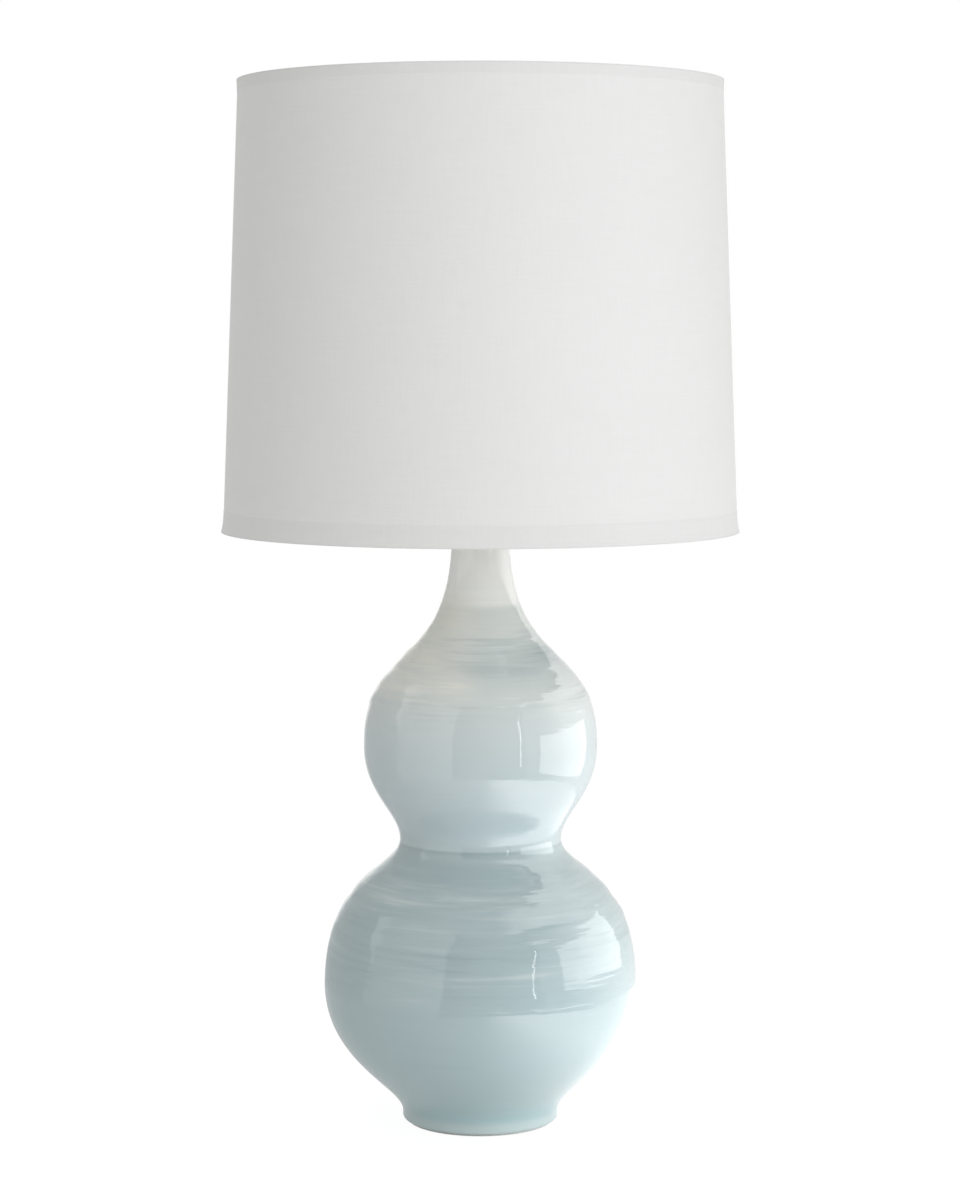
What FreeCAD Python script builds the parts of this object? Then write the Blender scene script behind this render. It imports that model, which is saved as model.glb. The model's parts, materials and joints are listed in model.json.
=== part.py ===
import FreeCAD, Part
import os
import re
import Sketcher

# A table lamp with a double gourd base: a hollow glazed body on a felt disc, clamped by a
# threaded pipe that also carries the socket, the harp and the drum shade on its spider.
# +Z is up, the front is towards -Y, and the origin lies on the surface under the foot.
# All lengths are in millimetres.

SIZES = {
    # Felt disc under the foot
    "felt_thickness": 1.5,
    "felt_inset": 4.0,
    # Outline of the glazed body: a radius and a height at each station, and between two
    # stations the reach of the curve, which is how far it keeps its direction
    "foot_radius": 65.7,
    "foot_round": 3.0,
    "foot_side_height": 7.0,
    "foot_reach": 24.0,
    "belly_radius": 131.8,
    "belly_height": 117.9,
    "belly_reach_down": 66.0,
    "belly_reach_up": 94.0,
    "waist_radius": 68.1,
    "waist_height": 240.5,
    "waist_reach_down": 26.3,
    "waist_reach_up": 21.6,
    "upper_radius": 98.4,
    "upper_height": 319.7,
    "upper_reach_down": 41.2,
    "upper_reach_up": 92.5,
    "neck_radius": 24.1,
    "neck_height": 500.0,
    "neck_reach": 122.8,
    "neck_collar": 12.0,
    "shoulder_joint": 0.62,
    # Wall, floor and foot ring of the glazed body, which is thrown in three sections
    "wall": 7.0,
    "recess_radius": 54.0,
    "recess_depth": 18.5,
    "floor_thickness": 8.0,
    "floor_radius": 62.0,
    "floor_flare_out": 20.0,
    "floor_flare_up": 12.0,
    "floor_reach": 50.0,
    "pipe_hole_play": 1.2,
    # Inlet for the mains lead in the back of the foot ring
    "inlet_height": 10.5,
    "inlet_hole_radius": 4.6,
    "inlet_seat_radius": 6.6,
    "inlet_seat_inset": 0.5,
    "grommet_bore": 3.2,
    "grommet_flange_radius": 6.2,
    "grommet_flange": 1.4,
    "grommet_play": 0.05,
    "grommet_inner_gap": 0.45,
    # Threaded pipe and what clamps it under the floor
    "pipe_radius": 4.9,
    "pipe_bore": 3.4,
    "pipe_tail": 6.0,
    "thread_play": 0.05,
    "rubber_washer_radius": 16.0,
    "rubber_washer_thickness": 2.0,
    "steel_washer_radius": 19.0,
    "steel_washer_thickness": 1.5,
    "lock_washer_radius": 8.2,
    "lock_washer_thickness": 1.6,
    "lock_washer_gap": 1.8,
    "nut_flats": 15.9,
    "nut_height": 4.8,
    # Cap, nut and spacer tube on the neck
    "gasket_thickness": 1.0,
    "neck_cap_overhang": 1.6,
    "neck_cap_thickness": 4.0,
    "neck_cap_round": 2.5,
    "neck_plug_length": 7.0,
    "neck_plug_wall": 2.0,
    "neck_plug_play": 0.6,
    "lock_nut_radius": 10.5,
    "lock_nut_height": 4.0,
    "lock_nut_notch": 0.7,
    "lock_nut_notches": 24,
    "neck_tube_radius": 7.5,
    "neck_tube_length": 20.0,
    # Harp: saddle, legs, sleeves, top plate and stud
    "saddle_thickness": 1.6,
    "saddle_width": 14.0,
    "saddle_bend": 3.0,
    "saddle_half_span": 30.0,
    "saddle_ear_height": 15.0,
    "harp_wire": 1.9,
    "peg_length": 8.0,
    "leg_gap": 0.2,
    "sleeve_wall": 1.4,
    "sleeve_length": 14.0,
    "sleeve_travel": 12.0,
    "sleeve_play": 0.06,
    "sleeve_gap": 0.1,
    "harp_half_width": 57.0,
    "harp_bend": 58.0,
    "harp_height": 277.7,
    "plate_half_length": 13.0,
    "plate_width": 9.0,
    "plate_thickness": 6.0,
    "plate_round": 2.5,
    "plate_socket_depth": 7.0,
    "plate_socket_play": 0.04,
    "stud_shank": 2.2,
    "stud_play": 0.06,
    "stud_head_radius": 4.2,
    "stud_head_thickness": 1.5,
    "stud_flange_radius": 6.5,
    "stud_flange_thickness": 2.0,
    "stud_thread_radius": 3.1,
    "stud_thread_length": 14.5,
    "swivel_gap": 0.1,
    # Socket
    "hub_radius": 9.0,
    "hub_height": 5.0,
    "hub_floor": 8.0,
    "socket_cap_radius": 17.9,
    "socket_cap_wall": 0.9,
    "socket_cap_flare": 16.0,
    "socket_cap_height": 25.0,
    "socket_play": 0.15,
    "shell_lift": 17.0,
    "shell_length": 52.0,
    "shell_wall": 0.6,
    "shell_rim": 0.7,
    "shell_rim_height": 2.2,
    "insulator_wall": 0.7,
    "insulator_inset": 1.0,
    "switch_body_height": 18.0,
    "switch_body_play": 0.4,
    "terminal_flat": 11.5,
    "terminal_flat_height": 12.0,
    "terminal_head_radius": 2.8,
    "terminal_head": 1.4,
    "terminal_shank": 1.4,
    "terminal_depth": 4.0,
    "terminal_height": 6.0,
    "screw_shell_radius": 13.35,
    "screw_shell_wall": 0.4,
    "screw_shell_length": 28.0,
    "screw_shell_floor": 0.6,
    "contact_hole_radius": 6.0,
    "contact_radius": 3.4,
    "contact_stem": 1.6,
    "contact_height": 4.6,
    "contact_leaf": 0.8,
    "set_screw_radius": 1.6,
    "set_screw_head_radius": 2.6,
    "set_screw_head": 1.4,
    "set_screw_height": 2.8,
    # Turning switch at the front of the socket
    "switch_height": 11.0,
    "shaft_radius": 2.0,
    "shaft_play": 0.05,
    "shaft_depth": 9.0,
    "shaft_length": 26.0,
    "shaft_hole_margin": 1.2,
    "knob_gap": 3.0,
    "knob_radius": 6.2,
    "knob_neck_radius": 4.4,
    "knob_length": 16.0,
    "knob_web": 3.0,
    "knob_round": 1.6,
    "knob_flute": 1.0,
    "knob_flutes": 12,
    # Bulb
    "bulb_gap": 0.1,
    "bulb_contact_radius": 4.8,
    "bulb_contact_tip": 2.4,
    "bulb_contact_height": 1.5,
    "bulb_insulator_radius": 12.3,
    "bulb_insulator_height": 4.5,
    "bulb_cap_radius": 13.05,
    "bulb_cap_wall": 0.5,
    "bulb_cap_height": 21.0,
    "glass_play": 0.25,
    "glass_wall": 0.9,
    "glass_tuck": 5.0,
    "glass_neck": 3.0,
    "glass_radius": 30.0,
    "glass_wide_height": 78.0,
    "glass_height": 109.0,
    "glass_reach_low": 22.0,
    "glass_reach_wide": 27.0,
    "glass_reach_top": 16.8,
    # Shade: cover, liner, wire rings and turned hems
    "shade_bottom_radius": 214.4,
    "shade_top_radius": 199.9,
    "shade_height": 370.8,
    "rim_flare_height": 13.0,
    "top_flare": 0.7,
    "bottom_flare": 1.5,
    "cover_thickness": 0.7,
    "liner_gap": 0.05,
    "liner_thickness": 1.1,
    "ring_wire": 1.6,
    "ring_gap": 0.1,
    "hem_thickness": 0.6,
    "hem_gap": 0.2,
    "hem_tail": 8.0,
    "arm_clearance": 0.4,
    # Spider and finial
    "spider_washer_radius": 12.0,
    "spider_washer_thickness": 2.0,
    "spider_drop": 21.8,
    "spider_arms": 3,
    "arm_wire": 1.6,
    "arm_gap": 0.1,
    "arm_level_length": 16.0,
    "arm_bend": 25.0,
    "finial_gap": 0.1,
    "finial_base_radius": 7.5,
    "finial_base_height": 5.0,
    "finial_neck_radius": 4.8,
    "finial_neck_height": 7.0,
    "finial_knob_radius": 8.6,
    "finial_height": 18.6,
    "finial_knob_reach": 4.6,
    "finial_bore_depth": 13.5,
}

doc = FreeCAD.newDocument("DoubleGourdLamp")
sheet = doc.addObject("Spreadsheet::Sheet", "Sizes")
for row, (alias, size) in enumerate(SIZES.items(), start=1):
    sheet.set(f"A{row}", alias)
    sheet.set(f"B{row}", str(size))
    sheet.setAlias(f"B{row}", alias)
doc.recompute()

# Levels and radii that follow from the sizes, from the felt up to the finial
foot_bottom = "felt_thickness"
recess_top = f"({foot_bottom} + recess_depth)"
floor_top = f"({recess_top} + floor_thickness)"
pipe_hole = "(pipe_radius + pipe_hole_play)"
thread_bore = "(pipe_radius + thread_play)"
neck_top = "(neck_height + neck_collar)"
neck_bore = "(neck_radius - wall)"
inlet_seat = "(foot_radius - inlet_seat_inset)"

rubber_bottom = f"({recess_top} - rubber_washer_thickness)"
steel_bottom = f"({rubber_bottom} - steel_washer_thickness)"
lock_washer_bottom = f"({steel_bottom} - lock_washer_thickness)"
nut_bottom = f"({lock_washer_bottom} - nut_height)"

gasket_top = f"({neck_top} + gasket_thickness)"
neck_cap_top = f"({gasket_top} + neck_cap_thickness)"
lock_nut_top = f"({neck_cap_top} + lock_nut_height)"
saddle_bottom = f"({lock_nut_top} + neck_tube_length)"
saddle_top = f"({saddle_bottom} + saddle_thickness)"
ear_top = f"({saddle_bottom} + saddle_ear_height)"
leg_bottom = f"({ear_top} + peg_length + leg_gap)"
plate_middle = f"({leg_bottom} + harp_height)"
plate_bottom = f"({plate_middle} - plate_thickness / 2)"
plate_top = f"({plate_middle} + plate_thickness / 2)"
stud_seat = f"({plate_top} + swivel_gap)"
washer_bottom = f"({stud_seat} + stud_flange_thickness + swivel_gap)"
washer_top = f"({washer_bottom} + spider_washer_thickness)"
finial_bottom = f"({washer_top} + finial_gap)"
shade_top = f"({washer_top} + spider_drop)"
shade_bottom = f"({shade_top} - shade_height)"

socket_base = saddle_top
pipe_top = f"({socket_base} + hub_floor)"
shell_bottom = f"({socket_base} + shell_lift)"
shell_top = f"({shell_bottom} + shell_length)"
shell_radius = "(socket_cap_radius - socket_cap_wall - socket_play)"
insulator_radius = f"({shell_radius} - shell_wall - socket_play)"
switch_body_radius = f"({insulator_radius} - insulator_wall - switch_body_play)"
switch_bottom = f"({shell_bottom} + insulator_inset)"
switch_top = f"({switch_bottom} + switch_body_height)"
switch_axis = f"({switch_bottom} + switch_height)"
shaft_hole = "(shaft_radius + shaft_hole_margin)"
contact_top = f"({switch_top} + contact_height)"
bulb_bottom = f"({contact_top} + bulb_gap)"
bulb_contact_top = f"({bulb_bottom} + bulb_contact_height)"
bulb_insulator_top = f"({bulb_contact_top} + bulb_insulator_height)"
bulb_cap_top = f"({bulb_insulator_top} + bulb_cap_height)"
glass_neck_radius = "(bulb_cap_radius - bulb_cap_wall - glass_play)"


def value(expression):
    """The number that an expression in the sheet's sizes gives."""
    return float(sheet.evalExpression(str(expression)))


def bound(expression):
    """The same expression, written for an object outside the sheet."""
    def cell(match):
        word = match.group(0)
        return f"Sizes.{word}" if word in SIZES else word
    return re.sub(r"[a-z][a-z_]*", cell, str(expression))


def bind(item, **properties):
    """Tie properties of an object to sizes; a double underscore stands for a dot."""
    for name, expression in properties.items():
        item.setExpression(name.replace("__", "."), bound(expression))


def place(item, x=0, y=0, z=0, axis=(0, 0, 1), angle=0):
    """Put an object at a point that follows the sizes, turned about an axis."""
    item.Placement = FreeCAD.Placement(
        FreeCAD.Vector(value(x), value(y), value(z)),
        FreeCAD.Rotation(FreeCAD.Vector(*axis), angle))
    bind(item, Placement__Base__x=x, Placement__Base__y=y, Placement__Base__z=z)


def new_body(label):
    body = doc.addObject("PartDesign::Body", label)
    body.Label = label
    return body


def origin_part(body, role):
    return next(item for item in body.Origin.OriginFeatures if item.Role == role)


def new_sketch(body, name, plane="XZ_Plane", offset=None):
    """A sketch on one of the body's own planes, shifted along the plane's normal."""
    sketch = body.newObject("Sketcher::SketchObject", f"{body.Name}_{name}")
    sketch.AttachmentSupport = (origin_part(body, plane), [""])
    sketch.MapMode = "FlatFace"
    if offset is not None:
        sketch.AttachmentOffset.Base.z = value(offset)
        bind(sketch, AttachmentOffset__Base__z=offset)
    return sketch


def fix_point(sketch, geometry, position, point):
    """Hold one point of a sketch at a pair of expressions."""
    for kind, expression in zip(("DistanceX", "DistanceY"), point):
        index = sketch.addConstraint(
            Sketcher.Constraint(kind, -1, 1, geometry, position, value(expression)))
        sketch.setExpression(f"Constraints[{index}]", bound(expression))


def vector(point):
    return FreeCAD.Vector(value(point[0]), value(point[1]), 0)


class Curve:
    """A smooth span to a point, which leaves and arrives in the direction of two poles."""

    def __init__(self, pole_a, pole_b, end):
        self.poles = (pole_a, pole_b)
        self.end = end

    def add(self, sketch, start):
        spline = Part.BSplineCurve()
        points = [vector(point) for point in (start, *self.poles, self.end)]
        spline.buildFromPolesMultsKnots(points, [4, 4], [0.0, 1.0], False, 3)
        index = sketch.addGeometry(spline, False)
        sketch.exposeInternalGeometry(index)
        for step, pole in enumerate(self.poles, start=2):
            fix_point(sketch, index + step, 3, pole)
        return index


class Round:
    """An arc to a point, with its own radius; side is 1 where it turns left."""

    def __init__(self, radius, side, end):
        self.radius = radius
        self.side = side
        self.end = end

    def add(self, sketch, start):
        first, last = vector(start), vector(self.end)
        radius = value(self.radius)
        chord = last - first
        normal = FreeCAD.Vector(-chord.y, chord.x, 0).normalize() * self.side
        height = max(radius ** 2 - (chord.Length / 2) ** 2, 0) ** 0.5
        centre = (first + last) * 0.5 + normal * height
        middle = centre - normal * radius
        index = sketch.addGeometry(Part.Arc(first, middle, last), False)
        constraint = sketch.addConstraint(Sketcher.Constraint("Radius", index, radius))
        sketch.setExpression(f"Constraints[{constraint}]", bound(self.radius))
        return index


class Line:
    """A straight edge to a point."""

    def __init__(self, end):
        self.end = end

    def add(self, sketch, start):
        return sketch.addGeometry(Part.LineSegment(vector(start), vector(self.end)), False)


def draw(sketch, start, steps, closed=True):
    """Draw edges from a start point through each step, and back to the start if closed."""
    steps = [step if hasattr(step, "end") else Line(step) for step in steps]
    if closed and steps[-1].end != start:
        steps.append(Line(start))
    ends = []
    point = start
    for step in steps:
        index = step.add(sketch, point)
        first, last = (1, 2)
        if isinstance(step, Round):
            arc_start = sketch.getPoint(index, 1)
            if arc_start.distanceToPoint(vector(point)) > 1e-6:
                first, last = (2, 1)
        fix_point(sketch, index, first, point)
        ends.append((index, first, last))
        point = step.end
    pairs = list(zip(ends, ends[1:]))
    if closed:
        pairs.append((ends[-1], ends[0]))
    for (index, _, last), (following, first, _) in pairs:
        sketch.addConstraint(Sketcher.Constraint("Coincident", index, last, following, first))
    if not closed:
        fix_point(sketch, ends[-1][0], ends[-1][2], point)


def draw_circle(sketch, radius, x=0, y=0):
    circle = Part.Circle(vector((x, y)), FreeCAD.Vector(0, 0, 1), value(radius))
    index = sketch.addGeometry(circle, False)
    fix_point(sketch, index, 3, (x, y))
    constraint = sketch.addConstraint(Sketcher.Constraint("Radius", index, value(radius)))
    sketch.setExpression(f"Constraints[{constraint}]", bound(radius))


def draw_rounded(sketch, half_x, half_y, corner):
    """A rectangle about the origin with rounded corners."""
    turns = ((1, 1), (-1, 1), (-1, -1), (1, -1))
    steps = []
    for index, (x, y) in enumerate(turns):
        side_x, side_y = f"{x} * ({half_x})", f"{y} * ({half_y})"
        along_x = (f"{x} * ({half_x} - {corner})", side_y)
        along_y = (side_x, f"{y} * ({half_y} - {corner})")
        arrive, leave = (along_y, along_x) if index % 2 == 0 else (along_x, along_y)
        steps.append(arrive)
        steps.append(Round(corner, 1, leave))
    draw(sketch, steps[0], steps[1:])


def turned(label, start, steps):
    """A body turned about its own Z axis from an outline of radii and heights."""
    body = new_body(label)
    sketch = new_sketch(body, "outline")
    draw(sketch, start, steps)
    revolution = body.newObject("PartDesign::Revolution", f"{label}_turn")
    revolution.Profile = sketch
    revolution.ReferenceAxis = (sketch, ["V_Axis"])
    revolution.Angle = 360
    body.Tip = revolution
    doc.recompute()
    return body


def ring(label, inner, outer, bottom, top):
    """A plain tube or washer about the lamp's axis."""
    return turned(label, (inner, bottom), [(outer, bottom), (outer, top), (inner, top)])


def pad(body, sketch, length, both_ways=False):
    feature = body.newObject("PartDesign::Pad", f"{sketch.Name}_pad")
    feature.Profile = sketch
    feature.Length = value(length)
    feature.Midplane = both_ways
    bind(feature, Length=length)
    body.Tip = feature
    doc.recompute()


def pocket(body, sketch, flipped=False):
    """Cut a sketch through everything on one side of its plane."""
    before = body.Shape.Volume
    feature = body.newObject("PartDesign::Pocket", f"{sketch.Name}_cut")
    feature.Profile = sketch
    feature.Type = "ThroughAll"
    feature.Reversed = flipped
    body.Tip = feature
    doc.recompute()
    if body.Shape.Volume >= before:
        raise ValueError(f"{feature.Name} cut nothing")
    return feature


def repeat_around(body, feature, count):
    """Repeat a feature evenly about the body's Z axis."""
    pattern = body.newObject("PartDesign::PolarPattern", f"{feature.Name}_around")
    pattern.Originals = [feature]
    pattern.Axis = (origin_part(body, "Z_Axis"), [""])
    pattern.Angle = 360
    pattern.Occurrences = int(value(count))
    bind(pattern, Occurrences=count)
    body.Tip = pattern
    doc.recompute()


def swept(label, start, steps, wire, profile_plane, profile_at, profile_offset):
    """A round wire along a path in the XZ plane."""
    body = new_body(label)
    path = new_sketch(body, "path")
    draw(path, start, steps, closed=False)
    section = new_sketch(body, "section", profile_plane, profile_offset)
    draw_circle(section, wire, *profile_at)
    doc.recompute()
    pipe = body.newObject("PartDesign::AdditivePipe", f"{label}_sweep")
    pipe.Profile = section
    pipe.Spine = path
    body.Tip = pipe
    doc.recompute()
    return body


# ---------------------------------------------------------------- base

def blend(first, last, share):
    """The point that lies a share of the way from one point to another."""
    return tuple(f"({a} + ({b} - ({a})) * {share})" for a, b in zip(first, last))


def split_curve(start, curve, share):
    """The two parts of a curve, which is cut at a share of its parameter."""
    points = [start, *curve.poles, curve.end]
    first_side, last_side = [start], [curve.end]
    while len(points) > 1:
        points = [blend(a, b, share) for a, b in zip(points, points[1:])]
        first_side.append(points[0])
        last_side.insert(0, points[-1])
    return Curve(*first_side[1:]), (last_side[0], Curve(*last_side[1:]))


def wall_curve(low, high, inset="0"):
    """The curve of the wall between two stations, moved inwards by an inset."""
    (low_radius, low_height, leave), (radius, height, arrive) = low, high
    start = (f"{low_radius} - {inset}", low_height)
    return start, Curve((f"{low_radius} - {inset}", f"{low_height} + {leave}"),
                        (f"{radius} - {inset}", f"{height} - {arrive}"),
                        (f"{radius} - {inset}", height))


def backwards(start, curve):
    """The same curve, drawn from its end to its start."""
    return Curve(curve.poles[1], curve.poles[0], start)


belly_up = ("belly_radius", "belly_height", "belly_reach_up")
waist_down = ("waist_radius", "waist_height", "waist_reach_down")
waist_up = ("waist_radius", "waist_height", "waist_reach_up")
upper_down = ("upper_radius", "upper_height", "upper_reach_down")
upper_up = ("upper_radius", "upper_height", "upper_reach_up")
neck_low = ("neck_radius", "neck_height", "neck_reach")


def make_lower_gourd():
    """The thrown lower section: foot ring, floor and belly, up to the joint at the waist."""
    _, outside = wall_curve(belly_up, waist_down)
    inside = backwards(*wall_curve(belly_up, waist_down, "wall"))
    body = turned("lower_gourd", ("recess_radius", foot_bottom), [
        ("foot_radius - foot_round", foot_bottom),
        Round("foot_round", 1, ("foot_radius", f"{foot_bottom} + foot_round")),
        ("foot_radius", "foot_side_height"),
        Curve(("foot_radius", "foot_side_height + foot_reach"),
              ("belly_radius", "belly_height - belly_reach_down"),
              ("belly_radius", "belly_height")),
        outside,
        ("waist_radius - wall", "waist_height"),
        inside,
        Curve(("belly_radius - wall", "belly_height - floor_reach"),
              ("floor_radius + floor_flare_out", f"{floor_top} + floor_flare_up"),
              ("floor_radius", floor_top)),
        (pipe_hole, floor_top),
        (pipe_hole, recess_top),
        ("recess_radius", recess_top)])
    hole = new_sketch(body, "inlet")
    draw_circle(hole, "inlet_hole_radius", 0, "inlet_height")
    pocket(body, hole)
    seat = new_sketch(body, "inlet_seat", offset=f"-{inlet_seat}")
    draw_circle(seat, "inlet_seat_radius", 0, "inlet_height")
    pocket(body, seat)


def make_upper_gourd():
    """The thrown upper section, from the waist to the joint on the shoulder, and the neck on it."""
    _, low_outside = wall_curve(waist_up, upper_down)
    low_inside = backwards(*wall_curve(waist_up, upper_down, "wall"))
    shoulder, (joint, neck) = split_curve(*wall_curve(upper_up, neck_low), "shoulder_joint")
    inner_shoulder, (inner_joint, inner_neck) = split_curve(
        *wall_curve(upper_up, neck_low, "wall"), "shoulder_joint")
    turned("upper_gourd", ("waist_radius", "waist_height"), [
        low_outside,
        shoulder,
        inner_joint,
        backwards(("upper_radius - wall", "upper_height"), inner_shoulder),
        low_inside])
    turned("gourd_neck", joint, [
        neck,
        ("neck_radius", neck_top),
        (neck_bore, neck_top),
        (neck_bore, "neck_height"),
        backwards(inner_joint, inner_neck)])


def make_felt():
    felt = doc.addObject("Part::Cylinder", "foot_felt")
    bind(felt, Radius="foot_radius - felt_inset", Height="felt_thickness")


def make_grommet():
    """A flanged bush in the foot ring, where the mains lead goes in."""
    sleeve = "(inlet_hole_radius - grommet_play)"
    inner_face = "-(foot_radius - recess_radius + grommet_inner_gap)"
    grommet = turned("cord_grommet", ("grommet_bore", f"{inner_face} - grommet_flange"), [
        ("grommet_flange_radius", f"{inner_face} - grommet_flange"),
        ("grommet_flange_radius", inner_face),
        (sleeve, inner_face),
        (sleeve, "grommet_play - inlet_seat_inset"),
        ("grommet_flange_radius", "grommet_play - inlet_seat_inset"),
        ("grommet_flange_radius", "grommet_flange - inlet_seat_inset"),
        ("grommet_bore", "grommet_flange - inlet_seat_inset")])
    place(grommet, y="foot_radius", z="inlet_height", axis=(1, 0, 0), angle=-90)


def make_clamp():
    """The threaded pipe, and the washers and nut that pull it down under the floor."""
    ring("lamp_pipe", "pipe_bore", "pipe_radius", f"{nut_bottom} - pipe_tail", pipe_top)
    ring("bottom_rubber_washer", thread_bore, "rubber_washer_radius",
         rubber_bottom, recess_top)
    ring("bottom_steel_washer", thread_bore, "steel_washer_radius",
         steel_bottom, rubber_bottom)
    washer = ring("bottom_lock_washer", thread_bore, "lock_washer_radius",
                  lock_washer_bottom, steel_bottom)
    split = new_sketch(washer, "split", "XY_Plane")
    half = "lock_washer_gap / 2"
    beyond = "lock_washer_radius + lock_washer_gap"
    draw(split, ("0", f"-{half}"), [
        (beyond, f"-{half}"),
        (beyond, half),
        ("0", half)])
    pocket(washer, split, flipped=True)
    nut = new_body("bottom_hex_nut")
    outline = new_sketch(nut, "outline", "XY_Plane", nut_bottom)
    corners = [(f"nut_flats / 2 / cos(30) * cos({angle})", f"nut_flats / 2 / cos(30) * sin({angle})")
               for angle in range(0, 360, 60)]
    draw(outline, corners[0], corners[1:])
    draw_circle(outline, thread_bore)
    pad(nut, outline, "nut_height")


def make_neck_fittings():
    """Gasket, cap, lock nut and spacer tube, stacked on the neck around the pipe."""
    ring("neck_gasket", f"{neck_bore} + neck_plug_play", "neck_radius", neck_top, gasket_top)
    plug = f"({neck_bore} - neck_plug_play)"
    rim = "(neck_radius + neck_cap_overhang)"
    turned("neck_cap", (thread_bore, gasket_top), [
        (f"{plug} - neck_plug_wall", gasket_top),
        (f"{plug} - neck_plug_wall", f"{gasket_top} - neck_plug_length"),
        (plug, f"{gasket_top} - neck_plug_length"),
        (plug, gasket_top),
        (rim, gasket_top),
        (rim, f"{neck_cap_top} - neck_cap_round"),
        Round("neck_cap_round", 1, (f"{rim} - neck_cap_round", neck_cap_top)),
        (thread_bore, neck_cap_top)])
    nut = ring("neck_lock_nut", thread_bore, "lock_nut_radius", neck_cap_top, lock_nut_top)
    notch = new_sketch(nut, "notch", "XY_Plane")
    draw_circle(notch, "lock_nut_notch", "lock_nut_radius", 0)
    repeat_around(nut, pocket(nut, notch, flipped=True), "lock_nut_notches")
    ring("neck_tube", thread_bore, "neck_tube_radius", lock_nut_top, saddle_bottom)


# ---------------------------------------------------------------- harp

def make_saddle():
    """A bent strip on the pipe, with a peg on each ear for a leg of the harp."""
    saddle = new_body("harp_saddle")
    strip = new_sketch(saddle, "strip")
    outer, inner = "saddle_half_span + saddle_thickness / 2", "saddle_half_span - saddle_thickness / 2"
    bend = "(saddle_bend + saddle_thickness)"
    draw(strip, (outer, ear_top), [
        (inner, ear_top),
        (inner, f"{saddle_top} + saddle_bend"),
        Round("saddle_bend", -1, (f"{inner} - saddle_bend", saddle_top)),
        (f"-({inner}) + saddle_bend", saddle_top),
        Round("saddle_bend", -1, (f"-({inner})", f"{saddle_top} + saddle_bend")),
        (f"-({inner})", ear_top),
        (f"-({outer})", ear_top),
        (f"-({outer})", f"{saddle_bottom} + {bend}"),
        Round(bend, 1, (f"-({outer}) + {bend}", saddle_bottom)),
        (f"{outer} - {bend}", saddle_bottom),
        Round(bend, 1, (outer, f"{saddle_bottom} + {bend}"))])
    pad(saddle, strip, "saddle_width", both_ways=True)
    hole = new_sketch(saddle, "hole", "XY_Plane")
    draw_circle(hole, thread_bore)
    pocket(saddle, hole, flipped=True)
    pegs = new_sketch(saddle, "pegs", "XY_Plane", ear_top)
    draw_circle(pegs, "harp_wire", "saddle_half_span")
    draw_circle(pegs, "harp_wire", "-saddle_half_span")
    pad(saddle, pegs, "peg_length")


def make_harp():
    """Two legs of round wire, the sleeves that lock their feet, and the plate that joins them."""
    straight = f"({leg_bottom} + sleeve_length + sleeve_travel)"
    spread = "((harp_half_width - saddle_half_span) / 2)"
    rise = f"sqrt(harp_bend * harp_bend - (harp_bend - {spread}) * (harp_bend - {spread}))"
    shoulder = "(harp_half_width - plate_half_length)"
    leg_end = "plate_half_length - plate_socket_depth + plate_socket_play"
    for side, angle in (("right", 0), ("left", 180)):
        leg = swept(f"harp_leg_{side}", ("saddle_half_span", leg_bottom), [
            ("saddle_half_span", straight),
            Round("harp_bend", -1, (f"saddle_half_span + {spread}", f"{straight} + {rise}")),
            Round("harp_bend", 1, ("harp_half_width", f"{straight} + 2 * {rise}")),
            ("harp_half_width", f"{plate_middle} - {shoulder}"),
            Round(shoulder, 1, ("plate_half_length", plate_middle)),
            (leg_end, plate_middle)],
            "harp_wire", "XY_Plane", ("saddle_half_span", 0), leg_bottom)
        place(leg, angle=angle)
        sleeve = ring(f"harp_sleeve_{side}", "harp_wire + sleeve_play",
                      "harp_wire + sleeve_play + sleeve_wall", "0", "sleeve_length")
        sign = "" if side == "right" else "-"
        place(sleeve, x=f"{sign}saddle_half_span", z=f"{ear_top} + sleeve_gap")
    plate = new_body("harp_top_plate")
    outline = new_sketch(plate, "outline", "XY_Plane", plate_bottom)
    draw_rounded(outline, "plate_half_length", "plate_width / 2", "plate_round")
    draw_circle(outline, "stud_shank + stud_play")
    pad(plate, outline, "plate_thickness")
    socket = new_sketch(plate, "socket", "YZ_Plane", "plate_half_length - plate_socket_depth")
    draw_circle(socket, "harp_wire + plate_socket_play", 0, plate_middle)
    repeat_around(plate, pocket(plate, socket, flipped=True), 2)


def make_stud():
    """The swivelling stud that is trapped in the top plate and carries the shade."""
    turned("harp_stud", (0, f"{plate_bottom} - swivel_gap - stud_head_thickness"), [
        ("stud_head_radius", f"{plate_bottom} - swivel_gap - stud_head_thickness"),
        ("stud_head_radius", f"{plate_bottom} - swivel_gap"),
        ("stud_shank", f"{plate_bottom} - swivel_gap"),
        ("stud_shank", stud_seat),
        ("stud_flange_radius", stud_seat),
        ("stud_flange_radius", f"{stud_seat} + stud_flange_thickness"),
        ("stud_thread_radius", f"{stud_seat} + stud_flange_thickness"),
        ("stud_thread_radius", f"{stud_seat} + stud_flange_thickness + stud_thread_length"),
        (0, f"{stud_seat} + stud_flange_thickness + stud_thread_length")])


# ---------------------------------------------------------------- socket

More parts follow.
